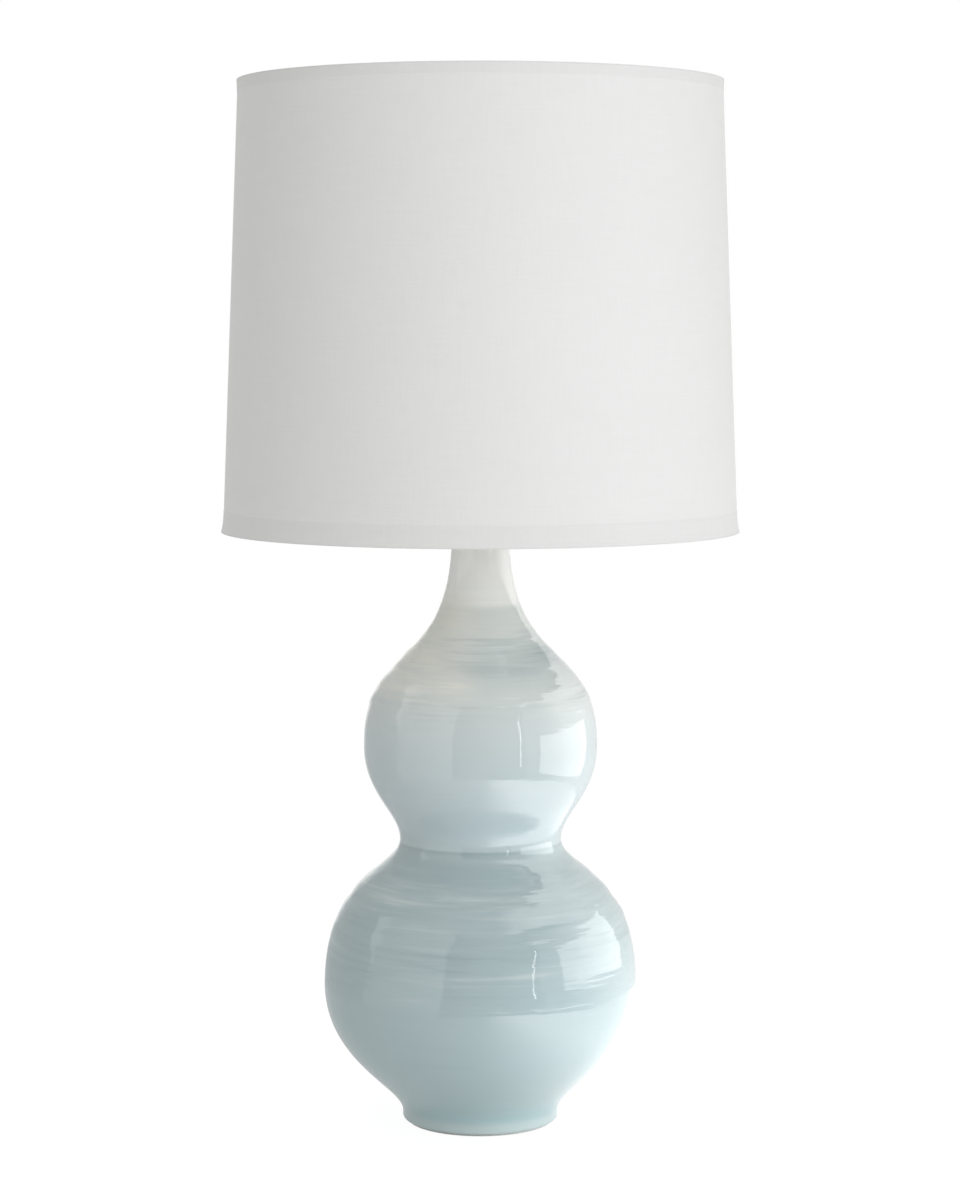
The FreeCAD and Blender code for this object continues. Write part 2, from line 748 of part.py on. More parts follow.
def make_socket_cap():
    flare = f"({socket_base} + socket_cap_flare)"
    rim = f"({socket_base} + socket_cap_height)"
    half_flare = "((socket_cap_flare - hub_height) / 2)"
    inner = "(socket_cap_radius - socket_cap_wall)"
    cap = turned("socket_cap", (thread_bore, socket_base), [
        ("hub_radius", socket_base),
        ("hub_radius", f"{socket_base} + hub_height"),
        Curve(("hub_radius", f"{socket_base} + hub_height + {half_flare}"),
              ("socket_cap_radius", f"{flare} - {half_flare}"),
              ("socket_cap_radius", flare)),
        ("socket_cap_radius", rim),
        (inner, rim),
        (inner, flare),
        Curve((inner, f"{flare} - {half_flare}"),
              ("hub_radius", f"{socket_base} + hub_floor + socket_cap_wall"),
              ("hub_radius - socket_cap_wall", f"{socket_base} + hub_floor")),
        (thread_bore, f"{socket_base} + hub_floor")])
    screw_hole = new_sketch(cap, "screw_hole")
    draw_circle(screw_hole, "set_screw_radius + thread_play", 0, f"{socket_base} + set_screw_height")
    pocket(cap, screw_hole)
    screw = turned("cap_set_screw", (0, "pipe_radius + thread_play"), [
        ("set_screw_radius", "pipe_radius + thread_play"),
        ("set_screw_radius", "hub_radius + thread_play"),
        ("set_screw_head_radius", "hub_radius + thread_play"),
        ("set_screw_head_radius", "hub_radius + thread_play + set_screw_head"),
        (0, "hub_radius + thread_play + set_screw_head")])
    place(screw, z=f"{socket_base} + set_screw_height", axis=(1, 0, 0), angle=-90)


def make_socket_shell():
    """The outer shell with a rolled rim, and the paper tube that lines it."""
    rim_start = f"({shell_top} - shell_rim_height)"
    shell = turned("socket_shell", (f"{shell_radius} - shell_wall", shell_bottom), [
        (shell_radius, shell_bottom),
        (shell_radius, rim_start),
        (f"{shell_radius} + shell_rim", f"{rim_start} + shell_rim"),
        (f"{shell_radius} + shell_rim", shell_top),
        (f"{shell_radius} - shell_wall", shell_top)])
    lining = ring("socket_insulator", f"{insulator_radius} - insulator_wall", insulator_radius,
                  f"{shell_bottom} + insulator_inset", f"{shell_top} - insulator_inset")
    for body in (shell, lining):
        hole = new_sketch(body, "shaft_hole")
        draw_circle(hole, shaft_hole, 0, switch_axis)
        pocket(body, hole, flipped=True)


def make_switch_body():
    """The moulded block in the socket, with a flat each side for a terminal screw."""
    block = turned("switch_body", (0, switch_bottom), [
        (switch_body_radius, switch_bottom),
        (switch_body_radius, switch_top),
        (0, switch_top)])
    bore = new_sketch(block, "bore", offset=f"{switch_body_radius} - shaft_depth")
    draw_circle(bore, "shaft_radius + shaft_play", 0, switch_axis)
    pocket(block, bore, flipped=True)
    flat = new_sketch(block, "flat", "YZ_Plane", "terminal_flat")
    low, high = f"{switch_bottom} - insulator_inset", f"{switch_bottom} + terminal_flat_height"
    draw(flat, (f"-{switch_body_radius}", low), [
        (switch_body_radius, low),
        (switch_body_radius, high),
        (f"-{switch_body_radius}", high)])
    repeat_around(block, pocket(block, flat, flipped=True), 2)
    hole = new_sketch(block, "terminal_hole", "YZ_Plane", "terminal_flat - terminal_depth")
    draw_circle(hole, "terminal_shank + thread_play", 0, f"{switch_bottom} + terminal_height")
    repeat_around(block, pocket(block, hole, flipped=True), 2)
    for side, angle in (("right", 90), ("left", -90)):
        screw = turned(f"terminal_screw_{side}", (0, "terminal_flat - terminal_depth + thread_play"), [
            ("terminal_shank", "terminal_flat - terminal_depth + thread_play"),
            ("terminal_shank", "terminal_flat + thread_play"),
            ("terminal_head_radius", "terminal_flat + thread_play"),
            ("terminal_head_radius", "terminal_flat + thread_play + terminal_head"),
            (0, "terminal_flat + thread_play + terminal_head")])
        place(screw, z=f"{switch_bottom} + terminal_height", axis=(0, 1, 0), angle=angle)


def make_screw_shell():
    """The cup that takes the bulb's thread, and the contact that rises through its floor."""
    outer = "screw_shell_radius + screw_shell_wall"
    turned("screw_shell", ("contact_hole_radius", switch_top), [
        (outer, switch_top),
        (outer, f"{switch_top} + screw_shell_length"),
        ("screw_shell_radius", f"{switch_top} + screw_shell_length"),
        ("screw_shell_radius", f"{switch_top} + screw_shell_floor"),
        ("contact_hole_radius", f"{switch_top} + screw_shell_floor")])
    turned("centre_contact", (0, switch_top), [
        ("contact_stem", switch_top),
        ("contact_stem", f"{contact_top} - contact_leaf"),
        ("contact_radius", f"{contact_top} - contact_leaf"),
        ("contact_radius", contact_top),
        (0, contact_top)])


def make_switch():
    """The shaft and fluted knob of the turning switch, along -Y."""
    tip = f"({switch_body_radius} - shaft_depth + thread_play)"
    shaft = turned("switch_shaft", (0, tip), [
        ("shaft_radius", tip),
        ("shaft_radius", f"{tip} + shaft_length"),
        (0, f"{tip} + shaft_length")])
    near = f"({shell_radius} + knob_gap)"
    far = f"({near} + knob_length)"
    bore = "shaft_radius + thread_play"
    bore_end = f"{tip} + shaft_length + thread_play"
    knob = turned("switch_knob", (bore, near), [
        ("knob_neck_radius", near),
        ("knob_radius", f"{near} + knob_web"),
        ("knob_radius", f"{far} - knob_round"),
        Round("knob_round", 1, ("knob_radius - knob_round", far)),
        (0, far),
        (0, bore_end),
        (bore, bore_end)])
    flute = new_sketch(knob, "flute", "XY_Plane", f"{near} + knob_web")
    draw_circle(flute, "knob_flute", "knob_radius + knob_flute / 2", 0)
    repeat_around(knob, pocket(knob, flute, flipped=True), "knob_flutes")
    for body in (shaft, knob):
        place(body, z=switch_axis, axis=(1, 0, 0), angle=90)


# ---------------------------------------------------------------- bulb

def make_bulb():
    turned("bulb_contact", (0, bulb_bottom), [
        ("bulb_contact_tip", bulb_bottom),
        ("bulb_contact_radius", bulb_contact_top),
        (0, bulb_contact_top)])
    turned("bulb_insulator", (0, f"{bulb_contact_top} + bulb_gap"), [
        ("bulb_contact_radius", f"{bulb_contact_top} + bulb_gap"),
        ("bulb_insulator_radius", f"{bulb_insulator_top} - bulb_contact_height"),
        ("bulb_insulator_radius", bulb_insulator_top),
        (0, bulb_insulator_top)])
    ring("bulb_cap", "bulb_cap_radius - bulb_cap_wall", "bulb_cap_radius",
         bulb_insulator_top, bulb_cap_top)
    tuck = f"({bulb_cap_top} - glass_tuck)"
    neck = f"({bulb_cap_top} + glass_neck)"
    wide = f"({bulb_bottom} + glass_wide_height)"
    tip = f"({bulb_bottom} + glass_height)"
    inner_neck, inner_wide = f"{glass_neck_radius} - glass_wall", "glass_radius - glass_wall"
    turned("bulb_globe", (inner_neck, tuck), [
        (glass_neck_radius, tuck),
        (glass_neck_radius, neck),
        Curve((glass_neck_radius, f"{neck} + glass_reach_low"),
              ("glass_radius", f"{wide} - glass_reach_wide"),
              ("glass_radius", wide)),
        Curve(("glass_radius", f"{wide} + glass_reach_top"),
              ("glass_reach_top", tip),
              (0, tip)),
        (0, f"{tip} - glass_wall"),
        Curve(("glass_reach_top", f"{tip} - glass_wall"),
              (inner_wide, f"{wide} + glass_reach_top"),
              (inner_wide, wide)),
        Curve((inner_wide, f"{wide} - glass_reach_wide"),
              (inner_neck, f"{neck} + glass_reach_low"),
              (inner_neck, neck))])


# ---------------------------------------------------------------- shade

first_arm_angle = -90


def shade_radius(depth):
    """Outer radius of the shade's straight side at a depth below its top rim."""
    slope = "(shade_bottom_radius - shade_top_radius) / shade_height"
    return f"(shade_top_radius + {slope} * ({depth}))"


top_edge = "(shade_top_radius + top_flare)"
top_kink = shade_radius("rim_flare_height")
bottom_edge = "(shade_bottom_radius + bottom_flare)"
bottom_kink = shade_radius("shade_height - rim_flare_height")
skins = "(cover_thickness + liner_gap + liner_thickness)"


def rim_radius(edge, kink, depth):
    """Outer radius near a rim, where the wire ring presses the side outwards."""
    return f"({edge} + ({kink} - {edge}) * ({depth}) / rim_flare_height)"


def make_shade_skins():
    """The fabric cover and the stiff liner that backs it, both slightly conical."""
    corners = ((bottom_edge, shade_bottom), (bottom_kink, f"{shade_bottom} + rim_flare_height"),
               (top_kink, f"{shade_top} - rim_flare_height"), (top_edge, shade_top))
    for label, inset, depth in (("shade_cover", "0", "cover_thickness"),
                                ("shade_liner", "cover_thickness + liner_gap", skins)):
        outer = [(f"{radius} - ({inset})", level) for radius, level in corners]
        inner = [(f"{radius} - {depth}", level) for radius, level in reversed(corners)]
        turned(label, outer[0], outer[1:] + inner)


ring_depth = "(hem_thickness + hem_gap + ring_wire)"
ring_inset = f"({skins} + ring_gap + ring_wire)"
top_ring_radius = f"({rim_radius(top_edge, top_kink, ring_depth)} - {ring_inset})"
bottom_ring_radius = f"({rim_radius(bottom_edge, bottom_kink, ring_depth)} - {ring_inset})"
ring_level = f"({shade_top} - {ring_depth})"


def make_shade_rings():
    rings = (("shade_top_ring", top_ring_radius, ring_level),
             ("shade_bottom_ring", bottom_ring_radius, f"{shade_bottom} + {ring_depth}"))
    for label, radius, level in rings:
        wire = doc.addObject("Part::Torus", label)
        bind(wire, Radius1=radius, Radius2="ring_wire")
        place(wire, z=level)


def make_hem(label, rim, inward, side, ring_radius):
    """The cover's edge turned over a wire ring and back to the liner."""
    def level(depth):
        return f"{rim} {inward} ({depth})"

    def liner_face(depth):
        return f"{rim_radius(*side, depth)} - {skins} - liner_gap"

    lip = f"({ring_radius} - ring_wire - hem_gap)"
    past_ring = "(hem_thickness + 2 * hem_gap + 2 * ring_wire)"
    tail = f"({past_ring} + hem_tail)"
    return turned(label, (liner_face("0"), level("0")), [
        (f"{lip} - hem_thickness", level("0")),
        (f"{lip} - hem_thickness", level(past_ring)),
        (f"{liner_face(tail)} - hem_thickness", level(tail)),
        (liner_face(tail), level(tail)),
        (lip, level(past_ring)),
        (lip, level("hem_thickness")),
        (liner_face("hem_thickness"), level("hem_thickness"))])


def make_hems():
    top = make_hem("shade_top_hem", shade_top, "-", (top_edge, top_kink), top_ring_radius)
    slit = new_sketch(top, "slit", "YZ_Plane")
    draw_circle(slit, "arm_wire + arm_clearance", 0, ring_level)
    repeat_around(top, pocket(top, slit, flipped=True), "spider_arms")
    make_hem("shade_bottom_hem", shade_bottom, "+", (bottom_edge, bottom_kink), bottom_ring_radius)
    place(top, angle=first_arm_angle)


# ---------------------------------------------------------------- spider and finial

def make_spider():
    """A washer on the stud, and the wire arms that carry the top ring."""
    ring("spider_washer", "stud_thread_radius + stud_play", "spider_washer_radius",
         washer_bottom, washer_top)
    low = f"({washer_bottom} + spider_washer_thickness / 2)"
    start = "spider_washer_radius + arm_gap"
    bend_start = f"{start} + arm_level_length"
    climb = f"(({ring_level} - {low}) / 2)"
    run = f"sqrt(arm_bend * arm_bend - (arm_bend - {climb}) * (arm_bend - {climb}))"
    arms = int(value("spider_arms"))
    for number in range(arms):
        arm = swept(f"spider_arm_{number + 1}", (start, low), [
            (bend_start, low),
            Round("arm_bend", 1, (f"{bend_start} + {run}", f"{low} + {climb}")),
            Round("arm_bend", -1, (f"{bend_start} + 2 * {run}", ring_level)),
            (f"{top_ring_radius} - ring_wire - arm_gap", ring_level)],
            "arm_wire", "YZ_Plane", (0, low), start)
        place(arm, angle=first_arm_angle + 360 * number / arms)


def make_finial():
    """A low brass knob that screws on the stud: a round base and a knob above it."""
    bore = "stud_thread_radius + stud_play"
    base_top = f"({finial_bottom} + finial_base_height)"
    neck = f"({finial_bottom} + finial_neck_height)"
    tip = f"({finial_bottom} + finial_height)"
    middle = f"(({neck} + {tip}) / 2)"
    bore_top = f"({finial_bottom} + finial_bore_depth)"
    turned("finial_base", (bore, finial_bottom), [
        ("finial_base_radius", finial_bottom),
        ("finial_base_radius", f"{base_top} - finial_gap"),
        (bore, f"{base_top} - finial_gap")])
    turned("finial_knob", (bore, base_top), [
        ("finial_neck_radius", base_top),
        ("finial_neck_radius", neck),
        Curve(("finial_knob_radius", neck),
              ("finial_knob_radius", f"{middle} - finial_knob_reach / 2"),
              ("finial_knob_radius", middle)),
        Curve(("finial_knob_radius", f"{middle} + finial_knob_reach"),
              ("finial_knob_reach", tip),
              (0, tip)),
        (0, bore_top),
        (bore, bore_top)])


make_felt()
make_lower_gourd()
make_upper_gourd()
make_grommet()
make_clamp()
make_neck_fittings()
make_saddle()
make_harp()
make_stud()
make_socket_cap()
make_socket_shell()
make_switch_body()
make_screw_shell()
make_switch()
make_bulb()
make_shade_skins()
make_shade_rings()
make_hems()
make_spider()
make_finial()
doc.recompute()

for item in doc.Objects:
    if "Invalid" in item.State or "Error" in item.State:
        raise ValueError(f"{item.Name} failed: {item.State}")

pieces = [item for item in doc.Objects
          if item.isDerivedFrom("PartDesign::Body") or item.isDerivedFrom("Part::Primitive")]
pieces = [item for item in pieces if not item.isDerivedFrom("PartDesign::Feature")]
os.makedirs("parts", exist_ok=True)
for piece in pieces:
    shape = piece.Shape
    if shape.isNull() or not shape.isValid():
        raise ValueError(f"{piece.Label} has no valid shape")
    shape.exportStep(f"parts/{piece.Label}.step")
    print(f"{piece.Label}: {shape.Volume:.0f} mm3, {len(shape.Solids)} solid")
print(f"{len(pieces)} pieces, overall height {value(shade_top):.1f} mm")
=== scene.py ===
# %% [markdown]
# # A double gourd table lamp
#
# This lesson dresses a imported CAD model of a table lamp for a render. The lamp has a thrown
# ceramic base, shaped like a gourd with two swellings under a slim neck, and a large linen
# drum shade that hangs on a wire harp. The CAD model is the fixed frame: it says where every
# piece is and how it moves. Blender adds the surfaces that one looks at.

# %% The frame
import json
import math
import bmesh
import bpy
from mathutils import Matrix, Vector

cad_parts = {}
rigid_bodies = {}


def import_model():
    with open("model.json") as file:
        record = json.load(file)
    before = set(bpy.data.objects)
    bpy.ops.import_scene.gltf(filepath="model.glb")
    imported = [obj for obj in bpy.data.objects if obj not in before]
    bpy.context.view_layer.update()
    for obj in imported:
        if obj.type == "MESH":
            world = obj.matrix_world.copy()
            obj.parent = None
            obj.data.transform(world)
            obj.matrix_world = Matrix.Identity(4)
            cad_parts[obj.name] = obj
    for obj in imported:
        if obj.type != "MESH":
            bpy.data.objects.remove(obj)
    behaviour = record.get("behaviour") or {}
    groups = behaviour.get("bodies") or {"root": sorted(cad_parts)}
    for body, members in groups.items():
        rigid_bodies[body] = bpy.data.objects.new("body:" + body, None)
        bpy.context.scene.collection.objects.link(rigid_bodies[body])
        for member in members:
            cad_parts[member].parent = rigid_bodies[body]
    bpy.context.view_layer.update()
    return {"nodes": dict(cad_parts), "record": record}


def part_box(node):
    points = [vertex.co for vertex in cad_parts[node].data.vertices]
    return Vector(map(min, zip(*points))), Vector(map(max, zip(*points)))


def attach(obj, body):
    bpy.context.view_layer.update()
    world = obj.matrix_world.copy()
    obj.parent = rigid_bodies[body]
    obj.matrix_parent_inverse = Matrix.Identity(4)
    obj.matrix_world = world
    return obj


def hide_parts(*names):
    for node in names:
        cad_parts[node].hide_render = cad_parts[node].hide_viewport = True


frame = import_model()
nodes = frame["nodes"]
MM = 0.001

# %% [markdown]
# ## The camera
#
# The picture that the render is set beside was taken from about two and a half metres, a
# little above the middle of the lamp and tilted down, so that the shade's rims curve only
# slightly. A long lens keeps the upright sides straight, as it does in studio work.

# %% The camera
SENSOR = 36.0
FOCAL_IN_PIXELS, PICTURE_HEIGHT = 3036, 1200
CAMERA_PLACE = (-0.0003, -2.532, 0.672)
CAMERA_PITCH = math.radians(5.2)

camera_data = bpy.data.cameras.new("camera")
camera_data.lens = SENSOR * FOCAL_IN_PIXELS / PICTURE_HEIGHT
camera = bpy.data.objects.new("camera", camera_data)
camera.location = CAMERA_PLACE
camera.rotation_euler = (math.pi / 2 - CAMERA_PITCH, 0, 0)
bpy.context.scene.collection.objects.link(camera)
bpy.context.scene.camera = camera
print(f"a {camera_data.lens:.0f} mm lens at {CAMERA_PLACE[2]:.2f} m")

# %% [markdown]
# ## Shader sums as plain expressions
#
# A finish is easier to read as a formula than as a web of nodes. One small class wraps a
# socket, and its operators add the Math nodes, so that `1 - mask` works as it reads. Every
# other node comes from one method, which takes the node's type, what goes into its sockets
# and its settings.

# %% A number that varies over a surface
class Field:
    """A socket of a finish that can be added to, multiplied and so on."""

    def __init__(self, finish, socket):
        self.finish = finish
        self.socket = socket

    def math(self, operation, *others):
        sockets = dict(enumerate((self, *others)))
        return self.finish.node("ShaderNodeMath", sockets, operation=operation)

    def __add__(self, other):
        return self.math("ADD", other)

    def __sub__(self, other):
        return self.math("SUBTRACT", other)

    def __rsub__(self, other):
        return (self * -1) + other

    def __mul__(self, other):
        return self.math("MULTIPLY", other)

    def __truediv__(self, other):
        return self.math("DIVIDE", other)

    def __pow__(self, other):
        return self.math("POWER", other)

    __radd__ = __add__
    __rmul__ = __mul__

    def between(self, low, high):
        """A smooth step from 0 at low to 1 at high."""
        return self.finish.node("ShaderNodeMapRange", {0: self, 1: low, 2: high},
                                interpolation_type="SMOOTHSTEP")


print("a field can be added to, multiplied and eased between two values")


# %% A finish
class Finish:
    """A material with one Principled shader, whose plain sockets are set by name."""

    def __init__(self, name, **plain):
        self.material = bpy.data.materials.new(name)
        self.material.use_nodes = True
        self.tree = self.material.node_tree
        self.shader = self.tree.nodes["Principled BSDF"]
        for words, value in plain.items():
            self.shader.inputs[words.replace("_", " ")].default_value = value

    def node(self, kind, sockets=None, output=0, **settings):
        """A new node with its settings made and its sockets fed, as a field of its output."""
        node = self.tree.nodes.new(kind)
        for name, value in settings.items():
            setattr(node, name, value)
        for key, value in (sockets or {}).items():
            self.feed(node.inputs[key], value)
        return Field(self, node.outputs[output])

    def feed(self, socket, value):
        if isinstance(value, Field):
            self.tree.links.new(value.socket, socket)
        else:
            socket.default_value = value

    def wear(self, socket, value):
        """Let a field or color drive one of the shader's sockets."""
        self.feed(self.shader.inputs[socket], value)

    def split(self, vector):
        """A vector's three numbers."""
        outputs = self.node("ShaderNodeSeparateXYZ", {0: vector}).socket.node.outputs
        return [Field(self, outputs[axis]) for axis in range(3)]

    def place(self):
        """The object's own coordinates in metres, as a vector and as three numbers."""
        where = self.node("ShaderNodeTexCoord", output=3)
        return where, *self.split(where)

    def vector(self, x, y, z):
        return self.node("ShaderNodeCombineXYZ", {0: x, 1: y, 2: z})

    def noise(self, where, scale=1.0, detail=2.0, roughness=0.5):
        return self.node("ShaderNodeTexNoise", {
            "Vector": where, "Scale": scale, "Detail": detail, "Roughness": roughness})

    def ramp(self, factor, stops, interpolation="EASE"):
        """A color for each value of a field, through stops of a position and a color."""
        colors = self.node("ShaderNodeValToRGB", {0: factor})
        ramp = colors.socket.node.color_ramp
        ramp.interpolation = interpolation
        while len(ramp.elements) < len(stops):
            ramp.elements.new(0.5)
        for element, (position, color) in zip(ramp.elements, stops):
            element.position = position
            element.color = (*color, 1)
        return colors

    def mix(self, factor, first, second, blend_type="MIX"):
        """A mix of two colors, each of them a tuple or a field."""
        first, second = ((*value, 1) if isinstance(value, tuple) else value
                         for value in (first, second))
        return self.node("ShaderNodeMix", {0: factor, 6: first, 7: second}, output=2,
                         data_type="RGBA", blend_type=blend_type)

    def tint(self, color, value):
        """A color made lighter or darker by a field."""
        return self.mix(1.0, color, self.vector(value, value, value), "MULTIPLY")

    def bump(self, height, distance, strength=1.0, normal=None):
        sockets = {"Height": height, "Distance": distance, "Strength": strength}
        if normal is not None:
            sockets["Normal"] = normal
        return self.node("ShaderNodeBump", sockets)


print("finishes are written as expressions")

# %% [markdown]
# ## The studio
#
# A pale lamp on a white ground needs light with a direction, or it turns flat. One broad soft
# lamp lights it from the front and a little from the right, one from behind, and two smaller
# ones from the right, where the shade and the foot would turn dull. What the glaze mirrors is a
# matter of its own: a dim pane on the left, a dark strip in front and a bright wall on the
# right, which only glossy rays meet. The ground is white because rays from the camera, from
# gloss and through glass see it as white, and not because the lamps are strong.

# %% What the glaze mirrors
PANE, PANE_LEAN = 0.62, 26
DARK_FRONT = 0.18
WALL_EDGE, BRIGHT_WALL, WALL_FADE = 0.35, 1.55, 0.7
FAR_LEFT, BEHIND = 0.34, 0.7


def glossy_room(x, y, z=0.0):
    """How bright gloss sees each bearing round the lamp, counted from the camera's side.

    A pane stands to the left of the camera and a pale wall to the right. The space between
    them is dark, and the far left is dim. Behind the lamp everything is pale.
    """
    bearing = x.math("ARCTAN2", y * -1) * math.degrees(1)
    pane = (bearing + z * PANE_LEAN).between(-89, -86) * (1 - bearing.between(-28, -26))
    wall = bearing.between(44, 46) * WALL_EDGE + \
        bearing.between(55, 105) * (1 - bearing.between(108, 168) * WALL_FADE) * BRIGHT_WALL
    far_left = 1 - bearing.between(-89, -86)
    behind = 1 - bearing.between(-168, -150)
    return pane * PANE + wall + far_left * FAR_LEFT + behind * BEHIND + DARK_FRONT


def rays_of(finish):
    """Two fields that pick out the rays from the camera or through glass, and those of gloss."""
    outputs = finish.node("ShaderNodeLightPath").socket.node.outputs
    camera_ray, through, gloss = (Field(finish, outputs[title]) for title in (
        "Is Camera Ray", "Is Transmission Ray", "Is Glossy Ray"))
    return camera_ray.math("MAXIMUM", through), gloss


print("gloss has a room of its own")

# %% [markdown]
# The ground mixes a pale matt surface with a white glow. Camera rays see mostly the glow, so
# that only a trace of each shadow is left. Gloss sees a table under the lamp that is brighter
# on the right, and past its edge the same room as above it.

# %% The ground
FLOOR_SIZE = 9.0
GROUND_TONE, GROUND_ROUGHNESS = 0.8, 0.9
GROUND_SHADOW = 0.12
WHITE_MARGIN, LIGHT_ON_GROUND = 1.03, 0.9
TABLE_EDGE, EDGE_SOFTNESS = 0.56, 0.04
TABLE_SHINE, SHINE_ON_RIGHT = 0.62, 1.9

floor_mesh = bpy.data.meshes.new("floor")
half = FLOOR_SIZE / 2
floor_mesh.from_pydata([(-half, -half, 0), (half, -half, 0), (half, half, 0), (-half, half, 0)],
                       [], [(0, 1, 2, 3)])
floor = bpy.data.objects.new("floor", floor_mesh)
bpy.context.scene.collection.objects.link(floor)

ground = Finish("pale_ground", Base_Color=(GROUND_TONE, GROUND_TONE, GROUND_TONE, 1),
                Roughness=GROUND_ROUGHNESS)
floor_mesh.materials.append(ground.material)
seen, gloss = rays_of(ground)
_, ground_x, ground_y, _ = ground.place()
reach = (ground_x * ground_x + ground_y * ground_y) ** 0.5
beyond = reach.between(TABLE_EDGE, TABLE_EDGE + EDGE_SOFTNESS)
shine = (1 - beyond) * (TABLE_SHINE + ground_x.between(-0.02, 0.22) * SHINE_ON_RIGHT) + \
    beyond * glossy_room(ground_x, ground_y)
full_white = WHITE_MARGIN * (1 - GROUND_SHADOW * GROUND_TONE * LIGHT_ON_GROUND) / \
    (1 - GROUND_SHADOW)
white = ground.node("ShaderNodeEmission", {
    "Color": (1, 1, 1, 1), "Strength": (seen * full_white).math("MAXIMUM", gloss * shine)})
share = seen.math("MAXIMUM", gloss) * (1 - GROUND_SHADOW)
both = ground.node("ShaderNodeMixShader", {0: share, 2: white})
ground.tree.links.new(ground.shader.outputs[0], both.socket.node.inputs[1])
ground.tree.links.new(both.socket, ground.tree.nodes["Material Output"].inputs["Surface"])
print(f"the ground is {FLOOR_SIZE:.0f} m wide and keeps {GROUND_SHADOW:.0%} of a shadow")

# %% [markdown]
# The surroundings are white to the camera as well. To dull surfaces they are a room, a little
# brighter above and on the right, and to gloss they are the pane, the wall and a ceiling.

# %% The surroundings
SURROUND_STRENGTH = 0.60
WARM_ROOM = (1.0, 0.995, 0.98)
ROOM, ROOM_ON_RIGHT, ROOM_ABOVE = 0.86, 0.22, 0.3
CEILING, CEILING_ON_RIGHT = 0.6, 1.3

world = bpy.data.worlds.new("studio")
bpy.context.scene.world = world
world.use_nodes = True


class Surround(Finish):
    """The same helper, for the world's own tree."""

    def __init__(self):
        self.tree = world.node_tree
        self.shader = self.tree.nodes["Background"]


sky = Surround()
seen, gloss = rays_of(sky)
toward_x, toward_y, toward_z = sky.split(sky.node("ShaderNodeTexCoord"))
room = ROOM + toward_x.between(-1.0, 1.0) * ROOM_ON_RIGHT + \
    toward_z.between(-0.1, 0.9) * ROOM_ABOVE
ceiling = toward_z.between(0.62, 0.68)
overhead = CEILING + toward_x.between(0.15, 0.55) * CEILING_ON_RIGHT
mirrored = (1 - ceiling) * glossy_room(toward_x, toward_y, toward_z) + ceiling * overhead
lit = (1 - gloss) * room * SURROUND_STRENGTH + gloss * mirrored
sky.wear("Strength", seen + (1 - seen) * lit)
sky.wear("Color", sky.mix(seen, WARM_ROOM, (1.0, 1.0, 1.0)))
print(f"the room lights the lamp from all sides at {SURROUND_STRENGTH:.2f} of white")

# %% [markdown]
# A lamp here either lights the piece or is mirrored by it, never both. The mirrored ones, a
# panel and a thin strip beside it, draw the bright shapes on the right of each swelling.

# %% The lamps
COOL_LAMP = (0.985, 0.995, 1.0)
WATTS_PER_SQUARE_METRE = 4


def soft_lamp(name, place, aim, size, radiance, mirrored=False):
    """A rectangular lamp that faces a point; radiance 1 looks white."""
    data = bpy.data.lights.new(name, "AREA")
    data.shape = "RECTANGLE"
    data.size, data.size_y = size
    data.energy = radiance * WATTS_PER_SQUARE_METRE * size[0] * size[1]
    data.color = COOL_LAMP
    lamp = bpy.data.objects.new(name, data)
    lamp.location = place
    lamp.rotation_euler = (Vector(aim) - Vector(place)).to_track_quat("-Z", "Y").to_euler()
    lamp.visible_camera = False
    lamp.visible_diffuse = not mirrored
    lamp.visible_glossy = mirrored
    bpy.context.scene.collection.objects.link(lamp)
    print(f"{name}: {data.energy:.2f} W")


soft_lamp("front_window", (1.05, -2.25, 1.05), (0, 0, 0.42), (2.0, 1.5), 1.5)
soft_lamp("back_window", (-0.9, 2.4, 1.2), (0, 0, 0.42), (2.4, 1.8), 1.0)
soft_lamp("window_right", (1.6, -0.7, 0.66), (0, 0, 0.55), (1.0, 0.9), 0.7)
soft_lamp("low_panel_right", (0.36, -0.18, 0.045), (0.05, 0, 0.02), (0.34, 0.08), 3.4)
soft_lamp("near_panel_right", (0.47, -0.04, 0.24), (0, -0.04, 0.2), (0.56, 0.27), 1.3,
          mirrored=True)
soft_lamp("edge_strip", (0.74, -0.95, 0.36), (0, 0, 0.36), (0.016, 0.70), 5.0, mirrored=True)

# %% [markdown]
# ## The lathe
#
# Most of the lamp is round. Where the CAD shape is too plain to look at closely, which is the
# thrown base, the skins and hems of the shade and the bulb's cap, one Geometry Nodes tree turns
# a new piece. It takes an outline, which is a curve of radii and heights, sweeps it round a
# circle, and then presses shallow throwing rings into it where they are asked for. A swept
# curve keeps the outline's own points, so corners stay where they are drawn.

